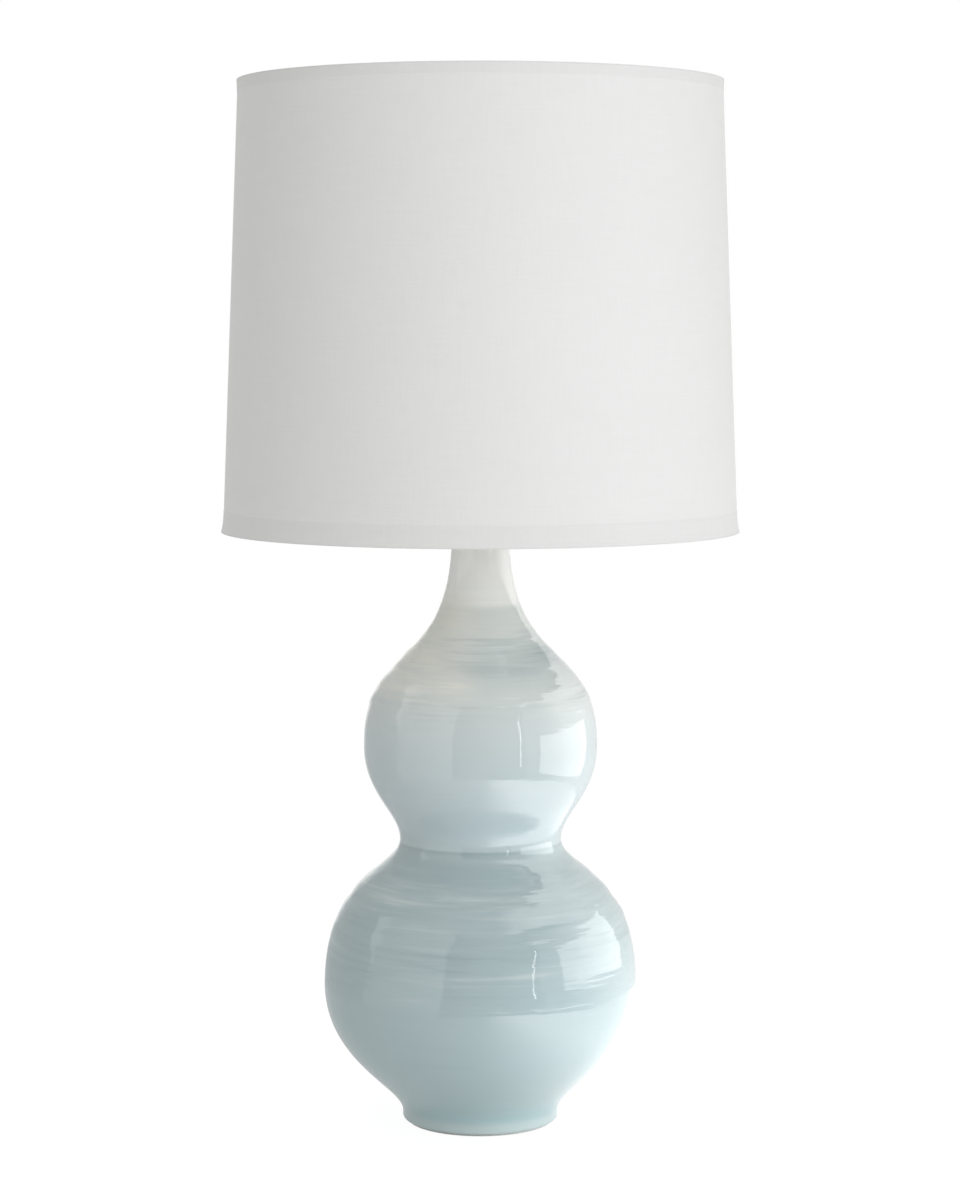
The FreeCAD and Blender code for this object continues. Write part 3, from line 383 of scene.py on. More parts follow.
# %% A tree of geometry nodes
class Tree:
    """A Geometry Nodes tree with named inputs, which ends in one mesh with one material."""

    def __init__(self, name, inputs):
        self.tree = bpy.data.node_groups.new(name, "GeometryNodeTree")
        self.tree.is_modifier = True
        interface = self.tree.interface
        interface.new_socket("Geometry", in_out="INPUT", socket_type="NodeSocketGeometry")
        self.ids = {}
        for title, (kind, value) in inputs.items():
            socket = interface.new_socket(title, in_out="INPUT", socket_type=f"NodeSocket{kind}")
            if value is not None:
                socket.default_value = value
            self.ids[title] = socket.identifier
        interface.new_socket("Geometry", in_out="OUTPUT", socket_type="NodeSocketGeometry")
        self.start = self.tree.nodes.new("NodeGroupInput")
        self.end = self.tree.nodes.new("NodeGroupOutput")

    def given(self, title):
        return self.start.outputs[title]

    def node(self, kind, sockets=None, output=0, **settings):
        """A new node with its settings made and its sockets linked or set."""
        node = self.tree.nodes.new(kind)
        for name, value in settings.items():
            setattr(node, name, value)
        for key, value in (sockets or {}).items():
            if isinstance(value, bpy.types.NodeSocket):
                self.tree.links.new(value, node.inputs[key])
            else:
                node.inputs[key].default_value = value
        return node.outputs[output]

    def math(self, operation, *values):
        return self.node("ShaderNodeMath", dict(enumerate(values)), operation=operation)

    def ease(self, value, low, high, start=0.0, end=1.0):
        """A smooth step from start to end, while a value goes from low to high."""
        return self.node("ShaderNodeMapRange", {0: value, 1: low, 2: high, 3: start, 4: end},
                         interpolation_type="SMOOTHSTEP")

    def finish(self, mesh):
        """Close the tree with real geometry that wears the given material."""
        real = self.node("GeometryNodeRealizeInstances", {0: mesh})
        dressed = self.node("GeometryNodeSetMaterial", {
            "Geometry": real, "Material": self.given("Material")})
        self.tree.links.new(dressed, self.end.inputs[0])


print("a tree takes named inputs and gives one mesh")

# %% The lathe
AXLE = 0.001
RING_DRIFT = 14.0
RING_EASE = 0.015
SAME_POINT = 1e-6

lathe = Tree("lathe", {
    "Outline": ("Object", None),
    "Steps Around": ("Int", 96),
    "Ring Depth": ("Float", 0.0),
    "Ring Spacing": ("Float", 0.012),
    "Ring Share Elsewhere": ("Float", 0.0),
    "Rings From": ("Float", 0.0),
    "Rings To": ("Float", 1.0),
    "Upper Rings From": ("Float", 0.0),
    "Upper Rings To": ("Float", 1.0),
    "Material": ("Material", None)})
drawn = lathe.node("GeometryNodeObjectInfo", {0: lathe.given("Outline")}, output="Geometry",
                   transform_space="ORIGINAL")
axle = lathe.node("GeometryNodeCurvePrimitiveCircle", {
    "Resolution": lathe.given("Steps Around"), "Radius": AXLE})
spun = lathe.node("GeometryNodeCurveToMesh", {"Curve": axle, "Profile Curve": drawn})
where = lathe.node("GeometryNodeInputPosition")
parts = lathe.node("ShaderNodeSeparateXYZ", {0: where}).node.outputs
stretched = lathe.node("ShaderNodeCombineXYZ", {
    0: lathe.math("MULTIPLY", parts[0], RING_DRIFT),
    1: lathe.math("MULTIPLY", parts[1], RING_DRIFT),
    2: lathe.math("DIVIDE", parts[2], lathe.given("Ring Spacing"))})
wave = lathe.node("ShaderNodeTexNoise", {
    "Vector": stretched, "Scale": 1.0, "Detail": 2.0, "Roughness": 0.5})


def band_of_rings(title):
    """1 between two given heights and 0 outside them, with soft ends."""
    ends = [lathe.ease(parts[2], lathe.given(end), lathe.math("ADD", lathe.given(end), toward))
            for end, toward in ((f"{title} From", RING_EASE), (f"{title} To", -RING_EASE))]
    return lathe.math("MULTIPLY", *ends)


bands = lathe.math("ADD", band_of_rings("Rings"), band_of_rings("Upper Rings"))
full = lathe.math("MULTIPLY", lathe.math("SUBTRACT", wave, 0.5), lathe.given("Ring Depth"))
press = lathe.math("MULTIPLY", full,
                   lathe.math("ADD", bands, lathe.given("Ring Share Elsewhere")))
level = lathe.node("ShaderNodeCombineXYZ", {0: parts[0], 1: parts[1]})
outward = lathe.node("ShaderNodeVectorMath", {0: level}, operation="NORMALIZE")
shift = lathe.node("ShaderNodeVectorMath", {0: outward, "Scale": press}, operation="SCALE")
ringed = lathe.node("GeometryNodeSetPosition", {"Geometry": spun, "Offset": shift})
merged = lathe.node("GeometryNodeMergeByDistance", {
    "Geometry": ringed, "Distance": SAME_POINT})
lathe.finish(merged)
print(f"the lathe has {len(lathe.tree.nodes)} nodes")

# %% [markdown]
# An outline is drawn as a maker would: corners as pairs of radius and height in millimetres,
# and a smooth span as two handles and an end. The curve is swept about the axis, so it is
# moved inwards by the small radius of the circle that it runs along.

# %% Drawing an outline
class Span:
    """A smooth span of an outline, which ends at the third point."""

    def __init__(self, leave, arrive, end):
        self.leave, self.arrive, self.end = leave, arrive, end


def outline_curve(name, steps, closed, smoothness):
    """A Bezier curve object through the steps, in the plane that the lathe reads."""
    def spot(point):
        return (point[0] * MM - AXLE, -point[1] * MM, 0)

    curve = bpy.data.curves.new(name, "CURVE")
    curve.dimensions = "3D"
    curve.resolution_u = smoothness
    spline = curve.splines.new("BEZIER")
    ends = [step.end if isinstance(step, Span) else step for step in steps]
    if closed and isinstance(steps[-1], Span) and steps[-1].end == ends[0]:
        ends.pop()
    spline.bezier_points.add(len(ends) - 1)
    for point, end in zip(spline.bezier_points, ends):
        point.co = spot(end)
        point.handle_left_type = point.handle_right_type = "VECTOR"
    for index, step in enumerate(steps):
        if isinstance(step, Span):
            first = spline.bezier_points[index - 1]
            last = spline.bezier_points[index % len(ends)]
            first.handle_right_type = last.handle_left_type = "FREE"
            first.handle_right, last.handle_left = spot(step.leave), spot(step.arrive)
    spline.use_cyclic_u = closed
    drawn = bpy.data.objects.new(name, curve)
    bpy.context.scene.collection.objects.link(drawn)
    return drawn


print("outlines are drawn in millimetres")

# %% [markdown]
# A tree's result becomes a plain mesh, because the export takes no live modifier. Its volume
# tells whether the faces point outwards, and the count of open edges whether it is closed.

# %% From a tree to a piece
SHARP = math.radians(40)


def take_mesh(host, name):
    """The evaluated mesh of a host with its modifiers, closed, with its faces outwards."""
    bpy.context.view_layer.update()
    evaluated = host.evaluated_get(bpy.context.evaluated_depsgraph_get())
    mesh = bpy.data.meshes.new_from_object(evaluated)
    mesh.name = name
    form = bmesh.new()
    form.from_mesh(mesh)
    if form.calc_volume(signed=True) < 0:
        bmesh.ops.reverse_faces(form, faces=form.faces)
    open_edges = sum(not edge.is_manifold for edge in form.edges)
    form.to_mesh(mesh)
    form.free()
    mesh.shade_smooth()
    mesh.set_sharp_from_angle(angle=SHARP)
    print(f"{name}: {len(mesh.polygons)} faces, {open_edges} open edges")
    return mesh


def settle(name, mesh, body, stands_for=()):
    """Make a piece of a finished mesh, and tell the frame what it rides on."""
    piece = bpy.data.objects.new(name, mesh)
    bpy.context.scene.collection.objects.link(piece)
    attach(piece, body)
    if stands_for:
        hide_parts(*stands_for)
    return piece


def grow(tree, name, **given):
    """Run a tree on an empty host with its inputs set by identifier, and keep the plain mesh."""
    host = bpy.data.objects.new(name, bpy.data.meshes.new(name))
    bpy.context.scene.collection.objects.link(host)
    modifier = host.modifiers.new(name, "NODES")
    modifier.node_group = tree.tree
    for title, value in given.items():
        modifier[tree.ids[title.replace("_", " ")]] = value
    mesh = take_mesh(host, name)
    host.modifiers.remove(modifier)
    bpy.data.objects.remove(host)
    return mesh


def turned(name, steps, finish, body, slot, stands_for=(), closed=True, smoothness=16, **given):
    """A piece from the lathe."""
    drawn = outline_curve(f"{name}_outline", steps, closed, smoothness)
    mesh = grow(lathe, name, Outline=drawn, Material=finish.material, **given)
    curve = drawn.data
    bpy.data.objects.remove(drawn)
    bpy.data.curves.remove(curve)
    return settle(name, mesh, body, stands_for)


print("pieces come off the lathe closed and with their faces outwards")

# %% [markdown]
# ## The glaze
#
# The base wears a pale ice-blue glaze over a white body. Where it runs thin, on the neck and
# over the ridges of the throwing rings, the white shows through; where it pools, in the waist
# and above the foot, it is deeper. A thin dark line in the crease under the waist is painted
# shade. Fine streaks go round the pot because they follow the potter's fingers. The gloss
# belongs to the glaze itself, and a high index of refraction makes it mirror more than water or
# plain glass would.

# %% The tones of the glaze, from the foot up
GLAZE_IOR = 1.75
GLAZE_TOP = 512.0
SEAM_WOBBLE = 2 * MM
TONES = [(0, (0.50, 0.60, 0.60)), (9, (0.48, 0.58, 0.59)),
         (14, (0.40, 0.55, 0.57)), (28, (0.41, 0.55, 0.57)),
         (50, (0.42, 0.54, 0.56)), (130, (0.40, 0.50, 0.52)),
         (215, (0.38, 0.47, 0.49)), (235, (0.39, 0.48, 0.50)),
         # The dark tone at 238.5 mm, in the crease under the waist, is painted shade.
         (238.5, (0.33, 0.42, 0.44)), (239.5, (0.48, 0.57, 0.59)),
         (252, (0.50, 0.60, 0.63)), (317, (0.54, 0.62, 0.64)),
         (368, (0.64, 0.69, 0.68)), (392, (0.58, 0.64, 0.64)),
         (402, (0.65, 0.70, 0.69)), (412, (0.72, 0.76, 0.74)),
         (437, (0.69, 0.73, 0.70)), (441, (0.89, 0.90, 0.87)), (512, (0.90, 0.90, 0.87))]

glaze = Finish("ice_blue_glaze", IOR=GLAZE_IOR)
where, x, y, z = glaze.place()
wobble = (glaze.noise(where, 11.0, 2.0) - 0.5) * SEAM_WOBBLE
tone = glaze.ramp((z + wobble) / (GLAZE_TOP * MM),
                  [(height / GLAZE_TOP, color) for height, color in TONES], "LINEAR")
print(f"{len(TONES)} tones up to {GLAZE_TOP:.0f} mm")

# %% The streaks of the glaze
PALE_GLAZE, DEEP_GLAZE = (0.58, 0.65, 0.65), (0.30, 0.39, 0.41)
FULL_STREAK = 0.4


def around_streaks(spacing, drift=5.0, detail=3.0, offset=0.0):
    """Streaks that lie level round the pot, with a height between two of them."""
    stretched = glaze.vector(x * drift, y * drift, z / spacing + offset)
    return glaze.noise(stretched, 1.0, detail, 0.55)


broad = around_streaks(0.016, offset=3.0)
narrow = around_streaks(0.004, drift=11.0, offset=7.0)
shoulders = z.between(0.33, 0.37) * (1 - z.between(0.425, 0.44)) + \
    z.between(0.10, 0.15) * (1 - z.between(0.215, 0.235))
streak = (broad - 0.5) * (0.3 + 0.5 * shoulders) + (narrow - 0.5) * (0.15 + 0.45 * shoulders)
cloud = glaze.noise(where, 9.0, 3.0, 0.5) - 0.5
thickness = streak + cloud * 0.18
pale = glaze.mix(thickness.between(0.0, FULL_STREAK), tone, PALE_GLAZE)
deep = glaze.mix((thickness * -1).between(0.0, FULL_STREAK), pale, DEEP_GLAZE)
print("fine streaks lie on both shoulders, and faint ones elsewhere")

# %% Painted reflections on the upper shoulder, and the skin of the glaze
# Two painted reflection tones for the upper shoulder: a pale one and a dark one.
PAINTED_REFLECTION_TONE, PAINTED_DARK_REFLECTION_TONE = (0.80, 0.80, 0.74), (0.42, 0.50, 0.51)
PATCH_SIDE = 15
RIPPLE_DEPTH, DIMPLE_DEPTH, PEEL_DEPTH = 0.0005, 0.0008, 0.00003
BUMP_STRENGTH = 0.5


def patch(left, right, low, high, soft):
    """A mask over part of the front, between two widths and two heights in millimetres."""
    across = x.between((left - PATCH_SIDE) * MM, (left + PATCH_SIDE) * MM) * \
        (1 - x.between((right - PATCH_SIDE) * MM, (right + PATCH_SIDE) * MM))
    upright = z.between((low - soft) * MM, low * MM) * \
        (1 - z.between(high * MM, (high + soft) * MM))
    return across * upright


brushed = narrow.between(0.42, 0.56)
# A pale patch on the left of the upper shoulder is a painted reflection of light from above.
with_painted_reflection = glaze.mix(patch(-95, -8, 380, 436, 20) * (0.6 + brushed * 0.3), deep, PAINTED_REFLECTION_TONE)
# A darker band across its middle is a painted dark reflection; streaks break both up.
with_painted_reflections = glaze.mix(patch(-30, 52, 390, 412, 10) * (0.1 + brushed * 0.35), with_painted_reflection, PAINTED_DARK_REFLECTION_TONE)
glaze.wear("Base Color", with_painted_reflections)
glaze.wear("Roughness", 0.03 + glaze.noise(where, 60.0, 2.0) * 0.06)
ripple = around_streaks(0.006, drift=14.0, detail=2.0) * (0.3 + shoulders * 1.7)
dimples = glaze.noise(where, 48.0, 1.0) * (0.35 + shoulders)
peel = glaze.noise(where, 220.0, 2.0)
bumped = glaze.bump(ripple, RIPPLE_DEPTH, BUMP_STRENGTH)
bumped = glaze.bump(dimples, DIMPLE_DEPTH, BUMP_STRENGTH, normal=bumped)
bumped = glaze.bump(peel, PEEL_DEPTH, BUMP_STRENGTH, normal=bumped)
glaze.wear("Normal", bumped)
print("the glaze pools, thins and ripples")

# %% [markdown]
# ## The base
#
# The outline has a station at the foot, the belly, the waist, the upper swelling and the
# neck. Between stations it is one smooth span. The waist has a tight crease under it, where
# the potter's tool closed the joint of the two swellings.

# %% The base, turned in one piece
FOOT_BOTTOM, FLOOR_TOP, RECESS_TOP = 1.5, 28.0, 20.0
CLAY_WALL = 7.0


def inner_span(start, leave, arrive, end, steps=6):
    """Points on a smooth span, moved inwards by the wall, for the side that nobody sees."""
    points = []
    for step in range(steps):
        t = step / steps
        weights = ((1 - t) ** 3, 3 * t * (1 - t) ** 2, 3 * t * t * (1 - t), t ** 3)
        corners = (start, leave, arrive, end)
        radius, height = (sum(w * c[axis] for w, c in zip(weights, corners)) for axis in (0, 1))
        points.append((radius - CLAY_WALL, height))
    return points


lower_side = ((131.8, 117.9), (131.8, 207.9), (68.1, 216.2), (68.1, 240.5))
upper_low = ((98.4, 319.7), (98.4, 278.5), (68.1, 262.1), (68.1, 240.5))
upper_high = ((24.1, 500.0), (24.1, 377.2), (98.4, 412.2), (98.4, 319.7))
gourd_outline = [
    (54.0, FOOT_BOTTOM), (62.7, FOOT_BOTTOM),
    Span((64.4, FOOT_BOTTOM), (65.7, 2.8), (65.7, 4.5)),
    (65.7, 7.0),
    Span((65.7, 31.0), (131.8, 51.9), (131.8, 117.9)),
    Span((131.8, 211.9), (68.1, 214.2), (68.1, 240.5)),
    Span((68.1, 262.1), (98.4, 278.5), (98.4, 319.7)),
    Span((98.4, 412.2), (24.1, 377.2), (24.1, 500.0)),
    (24.1, 511.0),
    Span((24.1, 511.6), (23.7, 512.0), (23.1, 512.0)),
    (17.1, 512.0),
    *inner_span(*upper_high), *inner_span(*upper_low), (61.1, 240.5),
    *inner_span(*reversed(lower_side))[1:], (124.8, 117.9), (118.0, 80.0), (98.0, 50.0),
    (78.0, 34.0), (62.0, FLOOR_TOP), (6.1, FLOOR_TOP), (6.1, RECESS_TOP), (54.0, RECESS_TOP)]
turned("gourd_body", gourd_outline, glaze, "root", "glaze",
       ("lower_gourd", "upper_gourd", "gourd_neck"), smoothness=72,
       Steps_Around=176, Ring_Depth=0.0034, Ring_Spacing=0.014,
       Ring_Share_Elsewhere=0.07, Rings_From=0.155, Rings_To=0.232,
       Upper_Rings_From=0.345, Upper_Rings_To=0.436)

# %% [markdown]
# ## Linen, and what backs it
#
# The shade is plain-weave linen glued to a sheet of styrene. From across a room only the
# slubs show, the thicker yarns that catch a little more light, so the finish has yarns both
# ways, slubs along them and a slow drift in tone. The pattern is laid out round the drum in
# metres, so that it doesn't stretch.

# %% The linen and the styrene
SHADE_MIDDLE_RADIUS = 0.207
YARN, SLUB = 0.00075, 0.0016
UPRIGHT_LENGTH, LEVEL_LENGTH = 0.035, 0.045
TURNED_LOW, TURNED_HIGH, FOLD, EDGE_LINE = 0.018, 0.009, 0.002, 0.0005
DRIFT_TONE, YARN_TONE, TURNED_TONE, PAINTED_FOLD_SHADE = 0.03, 0.02, 0.035, 0.07
YARN_SHARE, CLOTH_RELIEF, CLOTH_BUMP = 0.3, 0.00012, 0.6
rim_low, rim_high = (corner.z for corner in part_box("shade_cover"))


def weave(name, color, slub_strength):
    """Plain weave round the drum, darker where turned over, with painted shade along each fold.
    """
    cloth = Finish(name, Roughness=0.92, Sheen_Weight=0.25, Sheen_Roughness=0.5,
                   Specular_IOR_Level=0.2)
    where, x, y, z = cloth.place()
    around = x.math("ARCTAN2", y * -1) * SHADE_MIDDLE_RADIUS
    warp = (around * (math.tau / YARN)).math("SINE")
    weft = (z * (math.tau / YARN)).math("SINE")
    upright = cloth.noise(cloth.vector(around / SLUB, z / UPRIGHT_LENGTH, 0.0))
    level = cloth.noise(cloth.vector(around / LEVEL_LENGTH, z / SLUB, 4.0))
    drift = cloth.noise(where, 5.0)
    slubs = (upright - 0.5) + (level - 0.5)
    low_edge, high_edge = rim_low + TURNED_LOW, rim_high - TURNED_HIGH
    turned_edge = (1 - z.between(low_edge - EDGE_LINE, low_edge + EDGE_LINE)) + \
        z.between(high_edge - EDGE_LINE, high_edge + EDGE_LINE)
    # The last FOLD of cloth at each rim is darkened: painted shade where the cloth turns over.
    painted_fold_shade = (1 - z.between(rim_low, rim_low + FOLD)) + z.between(rim_high - FOLD, rim_high)
    value = 1 + slubs * slub_strength + (drift - 0.5) * DRIFT_TONE + warp * weft * YARN_TONE - \
        turned_edge * TURNED_TONE - painted_fold_shade * PAINTED_FOLD_SHADE
    cloth.wear("Base Color", cloth.tint(color, value))
    height = warp * weft * YARN_SHARE + slubs
    cloth.wear("Normal", cloth.bump(height, CLOTH_RELIEF, CLOTH_BUMP))
    return cloth


linen = weave("ivory_linen", (0.777, 0.779, 0.778), 0.04)

styrene = Finish("white_styrene", Roughness=0.45, Specular_IOR_Level=0.4)
where, x, y, z = styrene.place()
mottle = styrene.noise(where, 40.0, 3.0)
styrene.wear("Base Color", styrene.ramp(mottle, [
    (0.3, (0.82, 0.82, 0.80)), (0.7, (0.87, 0.87, 0.855))]))
styrene.wear("Normal", styrene.bump(styrene.noise(where, 900.0, 1.0), 0.00005, 0.4))
print("linen over styrene")

# %% [markdown]
# ## The shade
#
# The drum is slightly conical and kicks outwards at both rims, where the cloth is turned over
# a wire ring. The turned edge makes the last centimetre or two of the side a little thicker,
# which shows as a faint band.

# %% The drum
shade_low, shade_high = rim_low / MM, rim_high / MM
FLARE = 13.0
EDGE_STEP = 0.4
COVER = 0.7
BAND_TOP, BAND_BOTTOM = TURNED_HIGH / MM, TURNED_LOW / MM
STRAIGHT_TOP, STRAIGHT_BOTTOM = 199.9, 214.4
RIM_TOP, RIM_BOTTOM = 200.6, 215.9
BAND_RELIEF = 0.25


def side_radius(height):
    """Outer radius of the drum at a height, with the kick at each rim."""
    share = (shade_high - height) / (shade_high - shade_low)
    straight = STRAIGHT_TOP + (STRAIGHT_BOTTOM - STRAIGHT_TOP) * share
    above, below = shade_high - height, height - shade_low
    if above < FLARE:
        return straight + (RIM_TOP - straight) * (1 - above / FLARE) ** 2
    if below < FLARE:
        return straight + (RIM_BOTTOM - straight) * (1 - below / FLARE) ** 2
    return straight


def drum_side(inset, relief=0.0):
    """Points up the side of the drum, with a turned edge of its own thickness at each rim."""
    low_edge, high_edge = shade_low + BAND_BOTTOM, shade_high - BAND_TOP
    heights = [shade_low + step for step in (0, 3, 6, 9, FLARE)]
    heights += [shade_high - step for step in (0, 3, 6, FLARE)]
    heights += [edge + step for edge in (low_edge, high_edge) for step in (-EDGE_STEP, EDGE_STEP)]
    heights += [low_edge + (high_edge - low_edge - 8) * step / 24 for step in range(1, 25)]
    points = []
    for height in sorted(heights):
        banded = height < low_edge or height > high_edge
        points.append((side_radius(height) - inset - (0 if banded else relief), height))
    return points


cover_outline = drum_side(0.0, BAND_RELIEF) + list(reversed(drum_side(COVER)))
cover = turned("linen_cover", cover_outline, linen, "shade", "linen", ("shade_cover",),
               Steps_Around=240)

# %% [markdown]
# The styrene behind the cloth is one thin drum, which follows the same side further in.

# %% The liner
LINER_GAP, LINER = 0.05, 1.1
SKINS = COVER + LINER_GAP + LINER

liner_outline = drum_side(COVER + LINER_GAP) + list(reversed(drum_side(SKINS)))
turned("styrene_liner", liner_outline, styrene, "shade", "styrene", ("shade_liner",),
       Steps_Around=200)

# %% [markdown]
# At each rim the cloth turns over the wire ring and ends in a cut edge on the styrene, so the
# hem is a soft bead with a flat tail.

# %% The hems
HEM_CLOTH, HEM_GAP, HEM_DEPTH = 0.6, 0.05, 3.7
RING_DEPTH, TAIL_END = 4.8, 0.4


def hem_outline(node, rim, inward):
    """The turned edge of the cloth, as a rounded loop over the ring and a tail on the liner."""
    low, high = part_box(node)
    past = rim + inward * (RING_DEPTH - HEM_CLOTH)
    tail = rim + inward * ((high.z - low.z) / MM - TAIL_END)
    outer = side_radius(rim) - SKINS - HEM_GAP
    lip = side_radius(rim) - SKINS - HEM_DEPTH
    at_tail = side_radius(tail) - SKINS

    def by_rim(radius, depth=0.0):
        return radius, rim + inward * depth

    def by_ring(radius, depth=0.0):
        return radius, past + inward * depth

    return [
        by_rim(outer, 0.02),
        Span(by_rim(outer - 0.8), by_rim(lip + 0.9), by_rim(lip + 0.2, 0.7)),
        Span(by_rim(lip - 0.5, 1.4), by_ring(lip - 0.5, -1.6), by_ring(lip + 0.4)),
        Span(by_ring(lip + 1.5, 1.3), by_ring(at_tail - HEM_CLOTH - 0.2, 2.0),
             by_ring(at_tail - HEM_CLOTH, 4.0)),
        (at_tail - HEM_CLOTH, tail), (at_tail - HEM_GAP, tail),
        by_ring(side_radius(past) - SKINS - HEM_GAP, 4.0),
        Span(by_ring(at_tail - 0.5, 1.6), by_ring(lip + 1.9, 0.6), by_ring(lip + 0.9, -0.3)),
        Span(by_ring(lip + 0.1, -1.6), by_rim(lip + 0.1, 1.9), by_rim(lip + 0.9, 1.0)),
        Span(by_rim(lip + 1.3, 0.7), by_rim(outer - 0.9, 0.6), by_rim(outer, 0.62))]


top_hem, bottom_hem = (
    turned(f"{end}_hem", hem_outline(f"shade_{end}_hem", rim, inward), linen, "shade", "linen",
           (f"shade_{end}_hem",), smoothness=5, Steps_Around=200)
    for end, rim, inward in (("top", shade_high, -1), ("bottom", shade_low, 1)))

# %% [markdown]
# The cover is one strip of cloth, and its ends lap at the back. The seam is a low rib that
# follows the side of the drum, with its inner half sunk in the cloth.

# %% The seam
SEAM_WIDTH, SEAM_RELIEF, SEAM_SINK = 11.0, 0.35, 0.3
SEAM_SECTION = [(-1, -SEAM_SINK), (-1, SEAM_RELIEF * 0.6), (-0.9, SEAM_RELIEF),
                (0, SEAM_RELIEF), (0.9, SEAM_RELIEF), (1, SEAM_RELIEF * 0.6),
                (1, -SEAM_SINK), (0, -SEAM_SINK)]

seam_form = bmesh.new()
rows = []
for radius, height in drum_side(0.0):
    row = []
    for share, rise in SEAM_SECTION:
        angle = math.pi / 2 + share * SEAM_WIDTH / 2 / radius
        reach = (radius + rise) * MM
        row.append(seam_form.verts.new((reach * math.cos(angle), reach * math.sin(angle),
                                        height * MM)))
    rows.append(row)
for low_row, high_row in zip(rows, rows[1:]):
    for a in range(len(SEAM_SECTION)):
        b = (a + 1) % len(SEAM_SECTION)
        seam_form.faces.new((low_row[a], low_row[b], high_row[b], high_row[a]))
seam_form.faces.new(rows[0])
seam_form.faces.new(rows[-1])
bmesh.ops.recalc_face_normals(seam_form, faces=seam_form.faces)
seam_mesh = bpy.data.meshes.new("back_seam")
seam_form.to_mesh(seam_mesh)
seam_form.free()
seam_mesh.shade_smooth()
seam_mesh.set_sharp_from_angle(angle=SHARP)
seam_mesh.materials.append(linen.material)
seam = settle("back_seam", seam_mesh, "shade")
print(f"back_seam: {len(seam_mesh.polygons)} faces")

# %% [markdown]
# Cut open and laid flat, the cover is as long as the lower rim and the lap together, and as
# wide as the slant of the side.

# %% [markdown]
# ## Metals
#
# Each metal has its own story: satin nickel on the socket was brushed round the turned part,
# the harp's wire was drawn through a die and plated, and the plain steel under the foot has a
# dull zinc skin. One recipe serves them all. It takes the color, the direction of the lines
# and how rough they are.

# %% Metals
GRAIN_TONE, GRAIN_ROUGHNESS, GRAIN_BUMP = 0.16, 0.12, 0.6
SCRATCH_SPREAD = 6


def metal(name, color, roughness, lines="round", line_width=0.00035, blotch=0.06, depth=0.00002):
    """A metal whose fine lines run round the axis of the lamp, along it, or nowhere."""
    finish = Finish(name, Metallic=1.0)
    where, x, y, z = finish.place()
    if lines == "round":
        across = finish.vector(x * 4.0, y * 4.0, z / line_width)
    elif lines == "along":
        across = finish.vector(x / line_width, y / line_width, z * 6.0)
    else:
        across = finish.vector(*(axis / line_width / SCRATCH_SPREAD for axis in (x, y, z)))
    grain = finish.noise(across, 1.0, 2.0)
    stain = finish.noise(where, 90.0, 3.0)
    value = 1 + (grain - 0.5) * GRAIN_TONE + (stain - 0.5) * blotch * 2
    finish.wear("Base Color", finish.tint(color, value))
    finish.wear("Roughness", roughness + (grain - 0.5) * GRAIN_ROUGHNESS +
                (stain - 0.5) * blotch)
    finish.wear("Normal", finish.bump(grain, depth, GRAIN_BUMP))
    return finish


finishes = {
    "brushed_nickel": metal("satin_nickel", (0.66, 0.63, 0.58), 0.30),
    "socket_nickel": metal("spun_nickel", (0.66, 0.64, 0.60), 0.27, line_width=0.0003),
    "harp_nickel": metal("drawn_nickel_wire", (0.62, 0.61, 0.58), 0.24, "along"),
    "zinc_steel": metal("zinc_plate", (0.56, 0.57, 0.57), 0.42, "none", blotch=0.14),
    "terminal_brass": metal("stamped_brass", (0.74, 0.55, 0.25), 0.26, "none"),
    "terminal_nickel": metal("nickel_screw", (0.64, 0.62, 0.58), 0.3, "none"),
    "bulb_aluminium": metal("bare_aluminium", (0.80, 0.80, 0.80), 0.33, line_width=0.0005),
    "bulb_solder": metal("dull_solder", (0.52, 0.52, 0.53), 0.5, "none", blotch=0.2)}
print(", ".join(finishes))

# %% [markdown]
# ## Rubber, felt, moulded and painted pieces
#
# The rest are dull or dense materials. Each gets the grain that its making leaves: the
# powder coat's orange peel, the flow marks of a moulding, the fibres of felt and paper.

# %% The other finishes
DARK_FROM, LIGHT_FROM = 0.32, 0.66
SPECK_SHARE, SPECK_ROUGHNESS, SPECK_BUMP = 0.7, 0.15, 0.7


def dull(name, dark, light, roughness, grain, depth, stretch=(1, 1, 1), **plain):
    """A finish that drifts between two tones, with a grain of a size in metres."""
    finish = Finish(name, **plain)
    where, x, y, z = finish.place()
    across = finish.vector(*(axis * (factor / grain) for axis, factor in zip((x, y, z), stretch)))
    speck = finish.noise(across, 1.0, 3.0, 0.6)
    drift = finish.noise(where, 25.0, 2.0)
    mottle = speck * SPECK_SHARE + drift * (1 - SPECK_SHARE)
    finish.wear("Base Color", finish.ramp(mottle, [(DARK_FROM, dark), (LIGHT_FROM, light)]))
    finish.wear("Roughness", roughness + (speck - 0.5) * SPECK_ROUGHNESS)
    finish.wear("Normal", finish.bump(speck, depth, SPECK_BUMP))
    return finish


